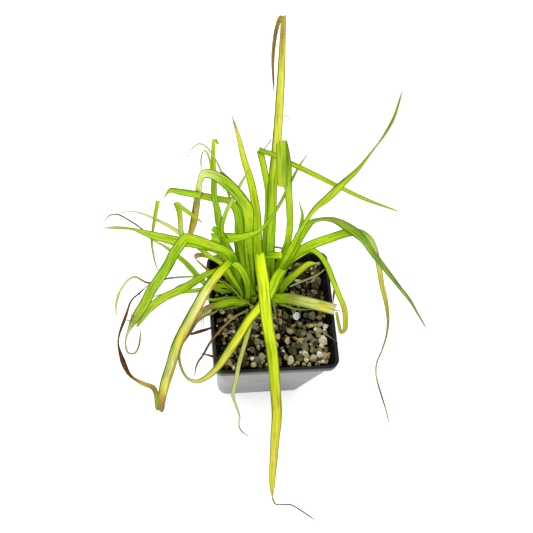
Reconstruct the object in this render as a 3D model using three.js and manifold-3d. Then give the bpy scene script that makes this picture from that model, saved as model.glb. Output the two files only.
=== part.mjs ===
// A young carex sedge, still loose and kinked, in a square nursery pot topped with grit.
// Millimetres, +Z up. The origin is the middle of the pot's underside, on the ground.
// The pot's sides run along X and Y.
import * as THREE from 'three';
import { mergeVertices } from 'three/addons/utils/BufferGeometryUtils.js';
import Module from 'manifold-3d';

const wasm = await Module();
wasm.setup();

// ---- driving dimensions ----

const pot = {
  width: 90,            // across the rim band
  baseWidth: 66,
  height: 100,
  wall: 1.2,
  floor: 2,
  rimCorner: 7,         // corner radius at the rim
  baseCorner: 6,
  bandHeight: 8,        // the stiffening band below the rim
  bandProud: 1,
  bandShoulder: 0.6,    // the slope under the band
  drainRadius: 2.6,
  channelDepth: 0.9,    // the moulded channel under the floor
  channelInner: 11,     // half widths of the channel's two walls
  channelOuter: 24,
  channelCorner: 2,
  cornerSteps: 4,
};

const past = 2;         // how far a cutting solid runs past what it cuts

const fill = {
  gap: 0.3,             // between neighbouring pieces
  soilTop: 87,
  bedTop: 93,           // the flat of the grit bed, under the stones
  stoneTop: 97.6,       // no stone stands above this
  stonePitch: 9.6,
  stoneRadius: 5,
  stoneClear: 6.6,      // from a stem's side to the middle of a stone
};

const grass = {
  thickness: 0.65,
  channel: 0.17,        // how far the edges stand above the midrib, of the width
  step: 17,             // longest stretch between two cross sections
  ease: 24,             // the stretch over which a turned blade faces the light again
  lead: 45,             // how far along a blade its heading is taken
  sown: 83,             // where a stem's foot stands, in its hole
  throat: 97.2,         // a leaf leaves its stem here, clear of the hole
  sheathTop: 98.5,
  sheathSides: 10,
  holeClear: 0.38,      // between a stem and the corners of its hole
  mitre: 1.7,           // the most that a section is widened at a kink
};

// Blades turn their faces this way.
const light = new THREE.Vector3(-0.15, -0.36, 0.92).normalize();

const plastic = new THREE.Color('#15171a');
const soilBrown = new THREE.Color('#221b13');
const gritTan = new THREE.Color('#8d8369');
const limeGreen = new THREE.Color('#86b416');
const deepGreen = new THREE.Color('#6a9c12');
const paleGreen = new THREE.Color('#a3bb3c');
const yellow = new THREE.Color('#c8cf2b');
const straw = new THREE.Color('#a07a3c');

// ---- the plant: each shoot stands in its own hole, and each route is a leaf's midrib ----
// width is a list of [share of the length, millimetres].

const shoots = [
  {
    name: 'rear_shoot', color: limeGreen, root: [-1.3, 18.9], sheath: 2.7,
    leaves: [
      { // the tallest, its tip folded down behind
        route: [[-1, 24, 120], [-5, 29, 148], [-7, 40, 178], [-8, 55, 202], [-6, 73, 217], [-1, 110, 224],
          [5, 151, 220], [8, 170, 215], [8.4, 174.5, 213], [7, 174.5, 210], [4, 167, 207], [1, 150, 200],
          [2, 131, 184]],
        width: [[0, 4], [0.1, 5.4], [0.2, 6.2], [0.31, 6], [0.42, 6.2], [0.62, 5.2], [0.76, 4], [0.84, 3.4],
          [0.92, 2.4], [1, 0.9]],
      },
      { // kinked over to the right
        route: [[-4, 24, 120], [-9, 33, 155], [-10, 41, 178], [-11, 51, 196], [-14, 60, 208],
          [-16.3, 67.8, 214.2], [-17, 70, 216]],
        width: [[0, 3.4], [0.24, 4.4], [0.49, 4.6], [0.65, 3.6], [0.87, 4.2], [1, 4.2]],
      },
      { // its broken arm, to the right
        from: [-17.8, 70.4, 216.4],
        route: [[-14.8, 68.6, 216.7], [-9, 65, 219], [1, 59, 219], [14, 54, 215], [37, 47, 204],
          [55, 43, 194], [83, 41, 176]],
        width: [[0, 3.4], [0.35, 3.4], [0.7, 2.4], [1, 0.8]],
      },
      { // straight and yellow
        route: [[-8, 23.5, 120], [-13.7, 29.5, 144], [-17, 42, 177], [-22, 58, 197], [-26, 69, 204],
          [-29, 84, 208], [-32, 101, 207]],
        width: [[0, 3.2], [0.2, 7], [0.4, 7], [0.56, 5.8], [0.72, 4.9], [0.85, 3.6], [1, 1]],
      },
      { // a short broken leaf
        from: [-7.6, 27.8, 139],
        route: [[-3, 25.2, 144.6], [2, 22.6, 151]],
        width: [[0, 4.6], [0.5, 5], [1, 4.8]],
      },
    ],
  },
  {
    name: 'rear_right_shoot', color: deepGreen, root: [2.6, 23.2], sheath: 2.2,
    leaves: [
      { // broad, its end folded forward and hanging
        route: [[3, 26, 114], [5, 28.5, 137], [6, 30, 156], [5, 34, 177], [2, 39, 198], [-1, 45, 216],
          [-3, 52, 230], [-6, 59, 240], [-7.5, 62, 243.5], [-8.5, 60.5, 246], [-8.5, 56, 245], [-8, 48, 238],
          [-6, 40, 223]],
        width: [[0, 3.4], [0.2, 4.2], [0.35, 4.6], [0.55, 4.6], [0.7, 5.2], [0.8, 6.6], [0.96, 6.8],
          [1, 5.8]],
      },
      { // a thin side leaf
        route: [[8.2, 28, 112], [8, 30.5, 128], [5.5, 33, 138], [-1, 33, 142]],
        width: [[0, 1], [0.45, 1.3], [0.65, 2.8], [1, 2.6]],
      },
    ],
  },
  {
    name: 'right_shoot', color: deepGreen, root: [4.8, 17.9], sheath: 2.7,
    leaves: [
      { // the long one that sweeps up and back
        route: [[3.5, 21, 120], [6.5, 23.5, 149], [9, 25, 180], [12, 27, 200], [16, 30, 211], [24, 34, 220],
          [32, 40, 225], [42, 48, 228], [55, 63, 227], [65, 76, 223], [75, 92, 217], [87, 119, 207]],
        width: [[0, 3.4], [0.25, 4], [0.4, 3.2], [0.47, 2.6], [0.515, 3.6], [0.56, 5.4], [0.6, 4.4],
          [0.65, 2.7], [0.7, 1.7], [0.74, 0.9], [0.8, 1.8], [0.86, 2.2], [0.93, 1.5], [1, 0.8]],
      },
      { // the high arch on the right
        route: [[4, 21, 118], [9.5, 25.5, 147], [12, 28, 172], [15, 29, 188], [19, 27, 200], [28, 25, 204],
          [40, 21, 198], [50, 18, 188], [60, 14, 172], [69, 11, 158], [79, 8, 142], [90, 5, 124],
          [102, 2, 104], [114, -1, 80], [126, -6, 58]],
        width: [[0, 3.6], [0.12, 5], [0.2, 6], [0.3, 6.6], [0.345, 5.6], [0.37, 2.6], [0.4, 2.8],
          [0.43, 5.2], [0.455, 6.6], [0.475, 6.4], [0.5, 5], [0.57, 4.2], [0.65, 3.8], [0.72, 3],
          [0.83, 2.4], [0.93, 1.4], [1, 0.8]],
      },
      { // small and upright
        route: [[8.5, 24, 128], [11.5, 28, 155], [12, 32, 178], [11.5, 35, 190], [9, 37, 199], [7, 40, 204]],
        width: [[0, 2], [0.5, 2.4], [0.8, 2.6], [1, 0.8]],
      },
      { // the one that falls to the ground in a dried thread
        route: [[4.8, 19.3, 112], [7.5, 24, 130], [14.5, 26.5, 148], [24, 27, 160], [34, 28, 166],
          [47, 32, 165], [57, 34, 158], [67, 33, 146], [73, 30, 132], [79, 25, 114], [85, 19, 94],
          [92, 11, 74], [97, 3, 54], [97, -6, 42], [94, -15, 33], [91, -22, 26], [91, -30, 20],
          [95, -43, 12], [99, -55, 6], [101, -66, 2]],
        width: [[0, 3.4], [0.14, 5.6], [0.24, 6.6], [0.32, 5.8], [0.41, 5.2], [0.47, 5], [0.54, 4.3],
          [0.61, 3.7], [0.67, 3.1], [0.73, 2], [0.8, 1.1], [0.92, 1.1], [1, 0.8]],
      },
      { // the hook over the right edge
        route: [[5.5, 17.8, 112], [8.8, 23.8, 128], [16.5, 29, 138], [23.5, 29.5, 143], [29, 26, 144],
          [35, 19, 140], [40, 11, 131], [46, 3, 119], [52, -3, 105], [54, -9, 94], [54.5, -12.5, 86],
          [52.5, -13.5, 84], [50, -10, 90], [47, -3, 100]],
        width: [[0, 3], [0.3, 3.8], [0.75, 3.9], [0.85, 3.7], [0.89, 2.4], [1, 2]],
      },
      { // short and broad, over the grit
        route: [[6.8, 14.5, 103], [10, 17.5, 110], [19.5, 23, 120], [26.5, 27.5, 120], [35, 29.5, 115]],
        width: [[0, 3.6], [0.5, 5.6], [0.8, 4.2], [1, 1]],
      },
      { // pale, beside it
        route: [[5, 20, 104], [8.5, 24.5, 113], [13.8, 29.5, 121], [20.6, 31.9, 128], [27.2, 33.8, 133]],
        width: [[0, 2.4], [0.5, 3.2], [1, 2.8]],
      },
    ],
  },
  {
    name: 'yellowing_right_shoot', color: yellow, root: [1.6, 12.6], sheath: 2.6,
    leaves: [
      { // broad, cut off square over the right rim
        route: [[3.5, 9.5, 101], [11.5, 5.5, 110], [22, 1, 114], [33, -2, 113], [44, -4, 109]],
        width: [[0, 3], [0.1, 4], [0.26, 7.2], [0.6, 8], [1, 7.9]],
      },
      { // thin, close to the grit
        route: [[3.5, 8, 100], [16, 0, 103], [31, -1, 101.5]],
        width: [[0, 1.6], [0.5, 1.9], [1, 0.8]],
      },
      { // across the left front corner and back in a dried loop
        route: [[1.5, 13.5, 112], [2.2, 15.3, 129], [3.8, 17.2, 136], [2.2, 14.6, 140.5], [-1.8, 9.3, 143],
          [-8, -3, 147], [-14, -11, 147], [-23, -20, 143], [-30, -29, 136], [-36, -36, 127], [-44, -44, 114],
          [-51, -47, 100], [-57, -47, 91], [-63, -43, 86], [-67, -34, 84], [-68, -26, 85], [-66, -19, 89],
          [-60, -12, 96], [-53, -4, 104], [-45, 0, 108]],
        width: [[0, 3], [0.16, 5.8], [0.28, 6.6], [0.5, 6.2], [0.58, 5.2], [0.65, 3.8], [0.72, 3],
          [0.8, 2.2], [0.9, 2], [0.96, 2.4], [1, 1.8]],
      },
      { // a short stub leaf
        route: [[1.5, 5.5, 100], [1.5, 0.5, 102], [2.5, -5.5, 101.5]],
        width: [[0, 1.8], [0.6, 2.2], [1, 1.2]],
      },
    ],
  },
  {
    name: 'front_leaf', color: yellow, root: [-5.2, 13.6], sheath: 2.3,
    leaves: [
      { // the long lime leaf that reaches out to the front
        route: [[-8.4, 17.2, 118], [-12, 19.8, 143], [-14.8, 18.4, 158], [-15.4, 17.2, 164.6]],
        width: [[0, 3.2], [0.6, 4.6], [1, 5]],
      },
      { // its long arm, towards the viewer
        from: [-15.5, 18, 164.2],
        route: [[-15.9, 14.6, 168], [-16.4, 7.4, 171], [-16, -7, 173], [-16, -28, 172], [-13, -49, 163],
          [-10, -70, 143], [-8, -83, 126], [-8, -94, 110], [-8, -107, 93], [-8, -118, 78], [-7, -129, 64]],
        width: [[0, 5.4], [0.02, 7], [0.05, 7.8], [0.16, 8], [0.35, 7.2], [0.64, 6.8], [0.83, 5.4],
          [0.93, 4], [1, 1]],
      },
      { // the dried thread at its tip
        from: [-7, -128, 65],
        route: [[-5, -132, 63], [3, -132, 58], [7, -132, 55], [14, -135, 50], [21, -139, 45],
          [28, -143, 40]],
        width: [[0, 1], [1, 0.8]],
      },
    ],
  },
  {
    name: 'front_thin_shoot', color: paleGreen, root: [-9, 6], sheath: 1.9,
    leaves: [
      { // hangs down in front of the pot
        route: [[-16, -8, 108], [-22, -23, 114], [-26, -34, 113], [-29, -43, 109], [-30, -49, 100],
          [-31, -53, 90], [-31, -55, 79], [-28, -59, 66], [-24, -64, 51], [-23, -69, 36], [-18, -72, 26],
          [-14, -73, 21]],
        width: [[0, 2.2], [0.3, 3.2], [0.6, 2.6], [0.75, 1.4], [1, 0.8]],
      },
      { // a thin straw-coloured leaf across the crown
        route: [[-12, 3, 102], [-17, 2, 110], [-24, 4, 118], [-31, 9, 126], [-39, 13, 134]],
        width: [[0, 1.3], [1, 0.9]],
      },
    ],
  },
  {
    name: 'rear_left_shoot', color: limeGreen, root: [-12.2, 12.4], sheath: 2.8,
    leaves: [
      { // the broad arch, its end folded and hanging
        route: [[-16, 18.5, 118], [-20, 28, 146], [-22.5, 32, 171], [-24.5, 35, 190], [-27, 36.5, 204],
          [-31, 37.5, 213], [-36.5, 40, 221], [-42, 43, 226], [-48, 47, 227], [-52, 49.3, 226],
          [-54.6, 50, 224], [-56, 50, 220.5], [-57, 47, 207], [-58, 43, 193], [-59, 39, 178],
          [-61, 35, 165]],
        width: [[0, 3.8], [0.2, 6], [0.45, 6.8], [0.52, 8], [0.66, 7.8], [0.7, 5.8], [0.8, 5.6], [0.95, 5.2],
          [1, 3.6]],
      },
      { // broad, then narrow and kinked to the left
        route: [[-19, 18, 120], [-24, 29, 146], [-28, 35, 166], [-30, 39, 181], [-33, 41, 192],
          [-38, 43, 199], [-47, 43, 203], [-57, 45, 204], [-69, 50, 199], [-75, 53, 195], [-79, 51, 188]],
        width: [[0, 3.6], [0.3, 6.8], [0.48, 7], [0.6, 5.2], [0.75, 5], [0.88, 4.6], [0.95, 3.2], [1, 1.2]],
      },
      { // thin, hooked at the top
        route: [[-17, 19, 116], [-21, 29.5, 140], [-25, 37, 159], [-31, 43, 176], [-37, 49, 195],
          [-42, 55, 211], [-46, 61, 219], [-53, 69, 225], [-57, 71.5, 224], [-62, 71, 216], [-63, 70, 211]],
        width: [[0, 1.6], [0.5, 1.7], [1, 0.8]],
      },
      { // narrow, with a dead tip
        route: [[-15, 19, 115], [-19, 30, 138], [-23, 38, 157], [-27, 44, 175], [-31, 48, 192],
          [-35, 52, 205], [-43, 55, 216]],
        width: [[0, 2.6], [0.4, 4], [0.75, 4], [1, 1.4]],
      },
    ],
  },
  {
    name: 'left_shoot', color: deepGreen, root: [-19.5, 21.5], sheath: 2.4,
    leaves: [
      { // upright, hooked at the top
        route: [[-25.5, 24, 118], [-33, 29.5, 144], [-40, 32, 165], [-43, 35, 180], [-45, 37, 195],
          [-48, 41, 208], [-48, 55, 216], [-48, 63, 217], [-47, 72, 215], [-46, 80, 211], [-44.5, 83.5, 207],
          [-42, 84, 199]],
        width: [[0, 3.4], [0.1, 5.2], [0.24, 5.6], [0.4, 5], [0.55, 4.4], [0.75, 3.4], [0.9, 2.4], [1, 1.7]],
      },
      { // thin, bent over at the top
        route: [[-26.5, 25, 116], [-34, 30.5, 141], [-40, 35, 160], [-44, 38, 175], [-46, 43, 188],
          [-48, 50, 198], [-48, 57, 204], [-50, 72, 208], [-52, 76, 206], [-53.5, 74.5, 199],
          [-53, 70, 186]],
        width: [[0, 1.6], [0.5, 2], [1, 0.9]],
      },
      { // bent back to the right
        route: [[-24.5, 24, 118], [-33, 29.5, 145], [-39, 32, 163], [-41, 34, 178], [-40, 36, 194],
          [-38, 37, 207], [-34, 43, 212], [-25, 56, 220]],
        width: [[0, 2], [0.5, 3], [0.85, 2.8], [1, 0.8]],
      },
      { // an inner leaf, short
        route: [[-21.4, 24, 118], [-24.6, 29.3, 132], [-26, 33.5, 142], [-27.2, 35.6, 148]],
        width: [[0, 3], [0.2, 3.6], [0.45, 6], [1, 6]],
      },
      { // the long diagonal across the back
        route: [[-25.5, 25, 116], [-30.5, 29.6, 128], [-36.8, 33.3, 138], [-42.5, 35.5, 148],
          [-43.4, 36, 153.4]],
        width: [[0, 2.6], [0.5, 4], [0.85, 5], [1, 5]],
      },
      { // its arm, to the right
        from: [-45.6, 36.6, 153],
        route: [[-41.4, 34.4, 156.4], [-37, 31.7, 163], [-30, 28.4, 171], [-22.7, 27.4, 177],
          [-16.8, 27.4, 184], [-11, 31, 193], [-4, 40, 199], [3, 52, 204], [9, 62, 206], [17, 73, 206]],
        width: [[0, 6], [0.06, 7], [0.18, 6.6], [0.27, 5], [0.36, 3.4], [0.48, 2.2], [0.8, 1.8], [1, 0.8]],
      },
      { // a short stub with a torn end
        from: [-37, 30, 163],
        route: [[-42, 34, 167], [-46.5, 37, 168.5]],
        width: [[0, 3.4], [0.6, 4.2], [1, 3.6]],
      },
    ],
  },
  {
    name: 'left_arching_shoot', color: limeGreen, root: [-18.5, 15.5], sheath: 2.4,
    leaves: [
      { // kinked down to the left, ending in a curl
        route: [[-24.6, 17.9, 114], [-28, 19.5, 136], [-33, 21, 156], [-40, 20, 172], [-51, 19, 184],
          [-60, 20, 190], [-64.4, 20.7, 190.7], [-67, 21, 191], [-68.6, 19.5, 189.3], [-74, 14, 183],
          [-78, 9, 174], [-83, 5, 163], [-88, 2, 149], [-93, -3, 134], [-98, -6, 119], [-102, -9, 107],
          [-105, -13, 98], [-106, -17, 90], [-104, -21.5, 84], [-100, -22, 84], [-97, -19, 88],
          [-95, -10, 103]],
        width: [[0, 3.4], [0.12, 5.2], [0.3, 6.8], [0.74, 6.8], [0.785, 5.6], [0.81, 2.2], [0.835, 1.3],
          [0.93, 1.5], [1, 0.8]],
      },
      { // out to the far left, pinched near its tip
        route: [[-26.5, 21, 116], [-34, 23.5, 140], [-43, 25, 158], [-54, 24, 170], [-63, 24, 176],
          [-72, 25, 177], [-79, 28, 175], [-87, 33, 169], [-93, 38, 163], [-100, 44, 155], [-109, 50, 144],
          [-120, 56, 131]],
        width: [[0, 3], [0.4, 5], [0.6, 6.8], [0.72, 4.8], [0.82, 1.3], [0.9, 2.2], [1, 0.8]],
      },
      { // a strip torn off the kinked leaf's edge
        from: [-79, 8, 172],
        route: [[-84, 8, 168], [-87, 24, 164], [-87, 33, 163], [-85, 44, 167], [-82, 57, 171]],
        width: [[0, 1.4], [0.6, 1.5], [0.8, 2.4], [1, 2.8]],
      },
    ],
  },
  {
    name: 'pale_left_shoot', color: paleGreen, root: [-22.4, 11.8], sheath: 2,
    leaves: [
      { // pale, to the far left
        route: [[-21.4, 11.7, 103], [-26.5, 13, 120], [-32.2, 16.8, 132], [-37.3, 19.1, 144],
          [-43, 20.7, 151], [-48, 21, 157], [-59, 27, 166], [-66, 32, 168], [-74, 39, 167], [-81, 45, 164],
          [-93, 56, 154], [-100, 61, 146], [-109, 65, 135]],
        width: [[0, 2.4], [0.35, 3.4], [0.6, 3.2], [0.78, 1.6], [0.9, 0.9], [1, 0.8]],
      },
      { // kinked back on itself
        from: [-53, 24, 161.5],
        route: [[-60, 27, 167], [-66, 30, 170], [-68, 34, 174], [-69, 42, 184], [-71, 47.5, 189],
          [-69, 44, 191], [-63, 38, 191.5], [-53, 32, 186]],
        width: [[0, 2.6], [0.5, 3.4], [0.63, 3.8], [0.85, 2.8], [1, 0.8]],
      },
      { // short, low over the rim
        route: [[-28.5, 11.5, 99], [-37.5, 9, 105], [-45, 8, 107], [-55, 13.5, 108]],
        width: [[0, 2], [0.5, 2.8], [1, 1.1]],
      },
    ],
  },
  {
    name: 'yellowing_left_shoot', color: yellow, root: [-17.4, 9.8], sheath: 2.2,
    leaves: [
      { // the big yellow arch, with its long brown tail
        route: [[-17.6, 11.9, 106], [-20.2, 14.1, 126], [-25.1, 16.7, 141], [-31.1, 17.3, 153],
          [-36.5, 14.5, 159.5]],
        width: [[0, 3.2], [0.4, 4.4], [0.75, 5.6], [1, 6]],
      },
      { // its arm, to the left, with its tail
        from: [-35.4, 15.7, 159.2],
        route: [[-39.6, 11.2, 161], [-43, 8, 161], [-52, -3, 161], [-59, -14, 158], [-66, -24, 151],
          [-73, -35, 140], [-77, -45, 127], [-81, -54, 111], [-83, -61.5, 97], [-83.5, -65, 89.5],
          [-84.5, -65.5, 86.5], [-85.5, -61, 86], [-86, -53, 87], [-88, -49, 88], [-96, -44, 84],
          [-104, -37, 82], [-110, -21, 84], [-111, -13, 88], [-105, 1, 101], [-101, 9, 109], [-96, 12, 114],
          [-88, 17, 120]],
        width: [[0, 4.6], [0.04, 5.8], [0.12, 7], [0.4, 7], [0.48, 6], [0.52, 5], [0.55, 3.2], [0.585, 4],
          [0.62, 3.8], [0.66, 2.6], [0.69, 1], [0.715, 4.6], [0.735, 4.2], [0.77, 1], [0.8, 1], [0.86, 2.4],
          [0.9, 1.2], [1, 0.8]],
      },
      { // to the left, dried brown at its end
        route: [[-22.5, 6.5, 101], [-29, 6.5, 104], [-36, 4.5, 106], [-49, 2, 104.5], [-58, -5, 96]],
        width: [[0, 3], [0.3, 5.4], [0.5, 5.8], [0.65, 5], [0.8, 3.6], [1, 1.4]],
      },
      { // small, below it
        route: [[-22, 5.5, 99.3], [-34.5, 2, 101.5], [-39, 0, 101]],
        width: [[0, 1.6], [0.6, 2.2], [1, 1]],
      },
    ],
  },
  {
    name: 'low_left_shoot', color: deepGreen, root: [-24.4, 17.6], sheath: 2.2,
    leaves: [
      { // broad, down to the left
        route: [[-27.5, 20, 105], [-33, 21.5, 120], [-39, 21.5, 132], [-44, 18.5, 138], [-51, 15, 140],
          [-65, 8, 135], [-79, 6, 121], [-85, 5, 111], [-91, 3, 99], [-97, -2, 84]],
        width: [[0, 3], [0.2, 4.4], [0.4, 5.6], [0.5, 6.6], [0.6, 6], [0.8, 5.6], [0.92, 4.6], [1, 1.4]],
      },
      { // thin, ending in a long dry thread
        route: [[-35, 14.5, 106], [-44, 14, 117], [-51, 14.5, 126], [-61, 20, 141], [-66, 23, 147],
          [-78, 32, 151], [-87, 39, 149], [-92, 47, 146], [-100, 57, 139], [-109, 66, 131], [-114, 67, 127],
          [-119, 64, 121]],
        width: [[0, 2.4], [0.3, 3.8], [0.44, 3.8], [0.55, 2.6], [0.62, 1.2], [0.72, 1], [1, 0.8]],
      },
      { // low
        route: [[-28, 17, 101], [-34, 17.5, 108], [-43, 16, 113], [-52, 13, 115], [-62, 12.5, 114],
          [-73, 13, 110], [-87, 14, 101]],
        width: [[0, 2], [0.4, 3.1], [0.7, 2.8], [1, 0.9]],
      },
      { // thin and dry, curled at the far left
        route: [[-29, 18, 102], [-37, 19.5, 112], [-48, 20, 122], [-58, 18.5, 127], [-76, 17, 129],
          [-89, 15, 127], [-99, 21, 124], [-108, 16, 114], [-112, 6, 100], [-111, 3, 94]],
        width: [[0, 1.5], [0.6, 1.2], [0.9, 1.7], [1, 1.2]],
      },
    ],
  },
  {
    name: 'dead_leaf', color: straw, root: [-24.8, 23.8], sheath: 1.3,
    leaves: [
      { // brown, doubled back
        route: [[-25, 27.5, 104], [-27, 32, 115], [-34, 33, 121], [-42, 33.5, 124], [-49, 35.5, 124],
          [-53.5, 36.5, 121.5], [-54, 36, 117.5], [-50, 34, 112], [-44, 31, 105]],
        width: [[0, 1.8], [0.4, 2.8], [0.66, 3], [0.8, 3.8], [1, 3.4]],
      },
    ],
  },
  {
    name: 'dry_straw', color: straw, root: [-18, 2], sheath: 1,
    leaves: [
      { // lies over the left rim
        route: [[-19.5, 1, 98.5], [-28, -4, 101.5], [-38, -13, 103.5], [-47, -23, 104.5], [-52, -30, 99],
          [-56, -34, 91], [-58, -41, 81]],
        width: [[0, 1.2], [0.6, 1.5], [1, 0.9]],
      },
    ],
  },
];

// ---- solids ----

/** A closed geometry as a solid. */
function toSolid(geometry) {
  geometry.deleteAttribute('normal');
  geometry.deleteAttribute('uv');
  const merged = mergeVertices(geometry, 1e-4);
  return new wasm.Manifold(new wasm.Mesh({
    numProp: 3,
    vertProperties: new Float32Array(merged.attributes.position.array),
    triVerts: new Uint32Array(merged.index.array),
  }));
}

/** A solid as a geometry, with flat shading. */
function toGeometry(solid) {
  const mesh = solid.getMesh();
  const geometry = new THREE.BufferGeometry();
  geometry.setAttribute('position', new THREE.BufferAttribute(new Float32Array(mesh.vertProperties), 3));
  geometry.setIndex(new THREE.BufferAttribute(new Uint32Array(mesh.triVerts), 1));
  geometry.computeVertexNormals();
  return geometry;
}

/** Joins solids, two by two. */
const join = (solids) => solids.reduce((whole, next) => whole.add(next));

/** The largest body of a solid: chips that a cut leaves loose are dropped. */
function largestBody(solid) {
  const bodies = solid.decompose();
  return bodies.reduce((best, body) => (body.volume() > best.volume() ? body : best));
}

/** A closed surface through rings of points, all with the same count, lowest ring first. */
function loft(rings) {
  const count = rings[0].length;
  const positions = rings.flat().flatMap((p) => p.toArray());
  const index = [];
  for (let r = 0; r < rings.length - 1; r += 1) {
    for (let k = 0; k < count; k += 1) {
      const a = r * count + k;
      const b = r * count + ((k + 1) % count);
      index.push(a, b, b + count, a, b + count, a + count);
    }
  }
  const last = (rings.length - 1) * count;
  for (let k = 1; k < count - 1; k += 1) {
    index.push(0, k + 1, k);
    index.push(last, last + k, last + k + 1);
  }
  const geometry = new THREE.BufferGeometry();
  geometry.setAttribute('position', new THREE.Float32BufferAttribute(positions, 3));
  geometry.setIndex(index);
  return toSolid(geometry);
}

/** A square ring with round corners, at height z. */
function squareRing(half, radius, z) {
  const ring = [];
  for (let corner = 0; corner < 4; corner += 1) {
    const turn = corner * Math.PI / 2;
    for (let s = 0; s <= pot.cornerSteps; s += 1) {
      const angle = (s / pot.cornerSteps) * Math.PI / 2;
      const x = half - radius + radius * Math.cos(angle);
      const y = half - radius + radius * Math.sin(angle);
      ring.push(new THREE.Vector3(
        x * Math.cos(turn) - y * Math.sin(turn),
        x * Math.sin(turn) + y * Math.cos(turn),
        z,
      ));
    }
  }
  return ring;
}

/** An upright cylinder or cone between two heights. */
function post(x, y, low, high, radius, topRadius = radius, sides = 16) {
  const geometry = new THREE.CylinderGeometry(topRadius, radius, high - low, sides, 1);
  geometry.rotateX(Math.PI / 2);
  geometry.translate(x, y, (low + high) / 2);
  return toSolid(geometry);
}

// ---- the pot and what fills it ----

const lerp = THREE.MathUtils.lerp;
const wallTopHalf = pot.width / 2 - pot.bandProud;

/** The wall's ring at height z, moved inwards by inset. */
function wallRing(z, inset = 0) {
  const share = z / pot.height;
  const half = lerp(pot.baseWidth / 2, wallTopHalf, share) - inset;
  const radius = lerp(pot.baseCorner, pot.rimCorner, share) - Math.min(inset, 2);
  return squareRing(half, radius, z);
}

function potSolid() {
  const bandLow = pot.height - pot.bandHeight;
  const bandHalf = pot.width / 2;
  const shell = loft([
    wallRing(0),
    wallRing(bandLow),
    squareRing(bandHalf, pot.rimCorner + pot.bandProud, bandLow + pot.bandShoulder),
    squareRing(bandHalf, pot.rimCorner + pot.bandProud, pot.height),
  ]);
  const inside = loft([wallRing(pot.floor, pot.wall), wallRing(pot.height + past, pot.wall)]);
  const channel = loft([
    squareRing(pot.channelOuter, pot.baseCorner, -past),
    squareRing(pot.channelOuter, pot.baseCorner, pot.channelDepth),
  ]).subtract(loft([
    squareRing(pot.channelInner, pot.channelCorner, -2 * past),
    squareRing(pot.channelInner, pot.channelCorner, pot.channelDepth + past),
  ]));
  const drain = (pot.channelInner + pot.channelOuter) / 2;
  const drains = [-1, 0, 1].flatMap((i) => [-1, 0, 1].map((j) => [i * drain, j * drain]))
    .filter(([x, y]) => x !== 0 || y !== 0)
    .map(([x, y]) => post(x, y, -past, pot.floor + past, pot.drainRadius));
  return shell.subtract(inside).subtract(channel).subtract(join(drains));
}

/** The holes that the stems stand in. */
const stemHoles = () => join(shoots.map(({ root, sheath }) => post(
  root[0],
  root[1],
  grass.sown - fill.gap,
  pot.height + past,
  sheath + grass.holeClear,
)));

function soilSolid() {
  const inset = pot.wall + fill.gap;
  return loft([wallRing(pot.floor + fill.gap, inset), wallRing(fill.soilTop, inset)]).subtract(stemHoles());
}

/** A seeded random number between 0 and 1. */
function randomFrom(seed) {
  let state = seed;
  return () => {
    state = (state * 1664525 + 1013904223) % 4294967296;
    return state / 4294967296;
  };
}

/** The grit: a bed with stones sunk into it, larger than life, in rough rows. */
function gritSolid() {
  const random = randomFrom(7);
  const vary = (middle, spread) => middle + spread * (2 * random() - 1);
  const inset = pot.wall + fill.gap;
  const bed = loft([wallRing(fill.soilTop + fill.gap, inset), wallRing(fill.bedTop, inset)]);
  const inside = loft([wallRing(fill.soilTop + fill.gap, inset), wallRing(fill.stoneTop, inset)]);
  const rows = Math.floor(pot.width / fill.stonePitch);
  const stones = [];
  for (let i = 0; i <= rows; i += 1) {
    for (let j = 0; j <= rows; j += 1) {
      const x = (i - rows / 2 + (j % 2) / 2 - 0.25) * fill.stonePitch + vary(0, 0.9);
      const y = (j - rows / 2) * fill.stonePitch + vary(0, 0.9);
      const stone = new THREE.IcosahedronGeometry(vary(fill.stoneRadius, 0.6), 0);
      stone.rotateX(vary(0, Math.PI));
      stone.scale(1, vary(0.9, 0.1), vary(0.62, 0.06));
      stone.rotateZ(vary(0, Math.PI));
      stone.translate(x, y, fill.bedTop + vary(0.4, 0.4));
      const bare = shoots.some(({ root, sheath }) => (
        Math.hypot(x - root[0], y - root[1]) < sheath + fill.stoneClear));
      if (!bare) stones.push(toSolid(stone));
    }
  }
  return largestBody(bed.add(join(stones)).intersect(inside).subtract(stemHoles()));
}

// ---- blades ----

/** The value at a share of the length, from a list of [share, value]. */
function along(list, share) {
  const next = list.findIndex(([at]) => at >= share);
  if (next < 0) return list[list.length - 1][1];
  if (next === 0) return list[0][1];
  const [from, low] = list[next - 1];
  const [to, high] = list[next];
  return lerp(low, high, (share - from) / (to - from));
}

/** Points along a smooth line through a route, closer where its own points are close. */
function stationsOf(route) {
  const points = route.map((p) => new THREE.Vector3(...p));
  const curve = new THREE.CatmullRomCurve3(points, false, 'centripetal');
  const spans = points.length - 1;
  const stations = [];
  for (let span = 0; span < spans; span += 1) {
    const steps = Math.ceil(points[span].distanceTo(points[span + 1]) / grass.step);
    for (let s = 0; s < steps; s += 1) stations.push(curve.getPoint((span + s / steps) / spans));
  }
  stations.push(points[spans]);
  return stations;
}

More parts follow.
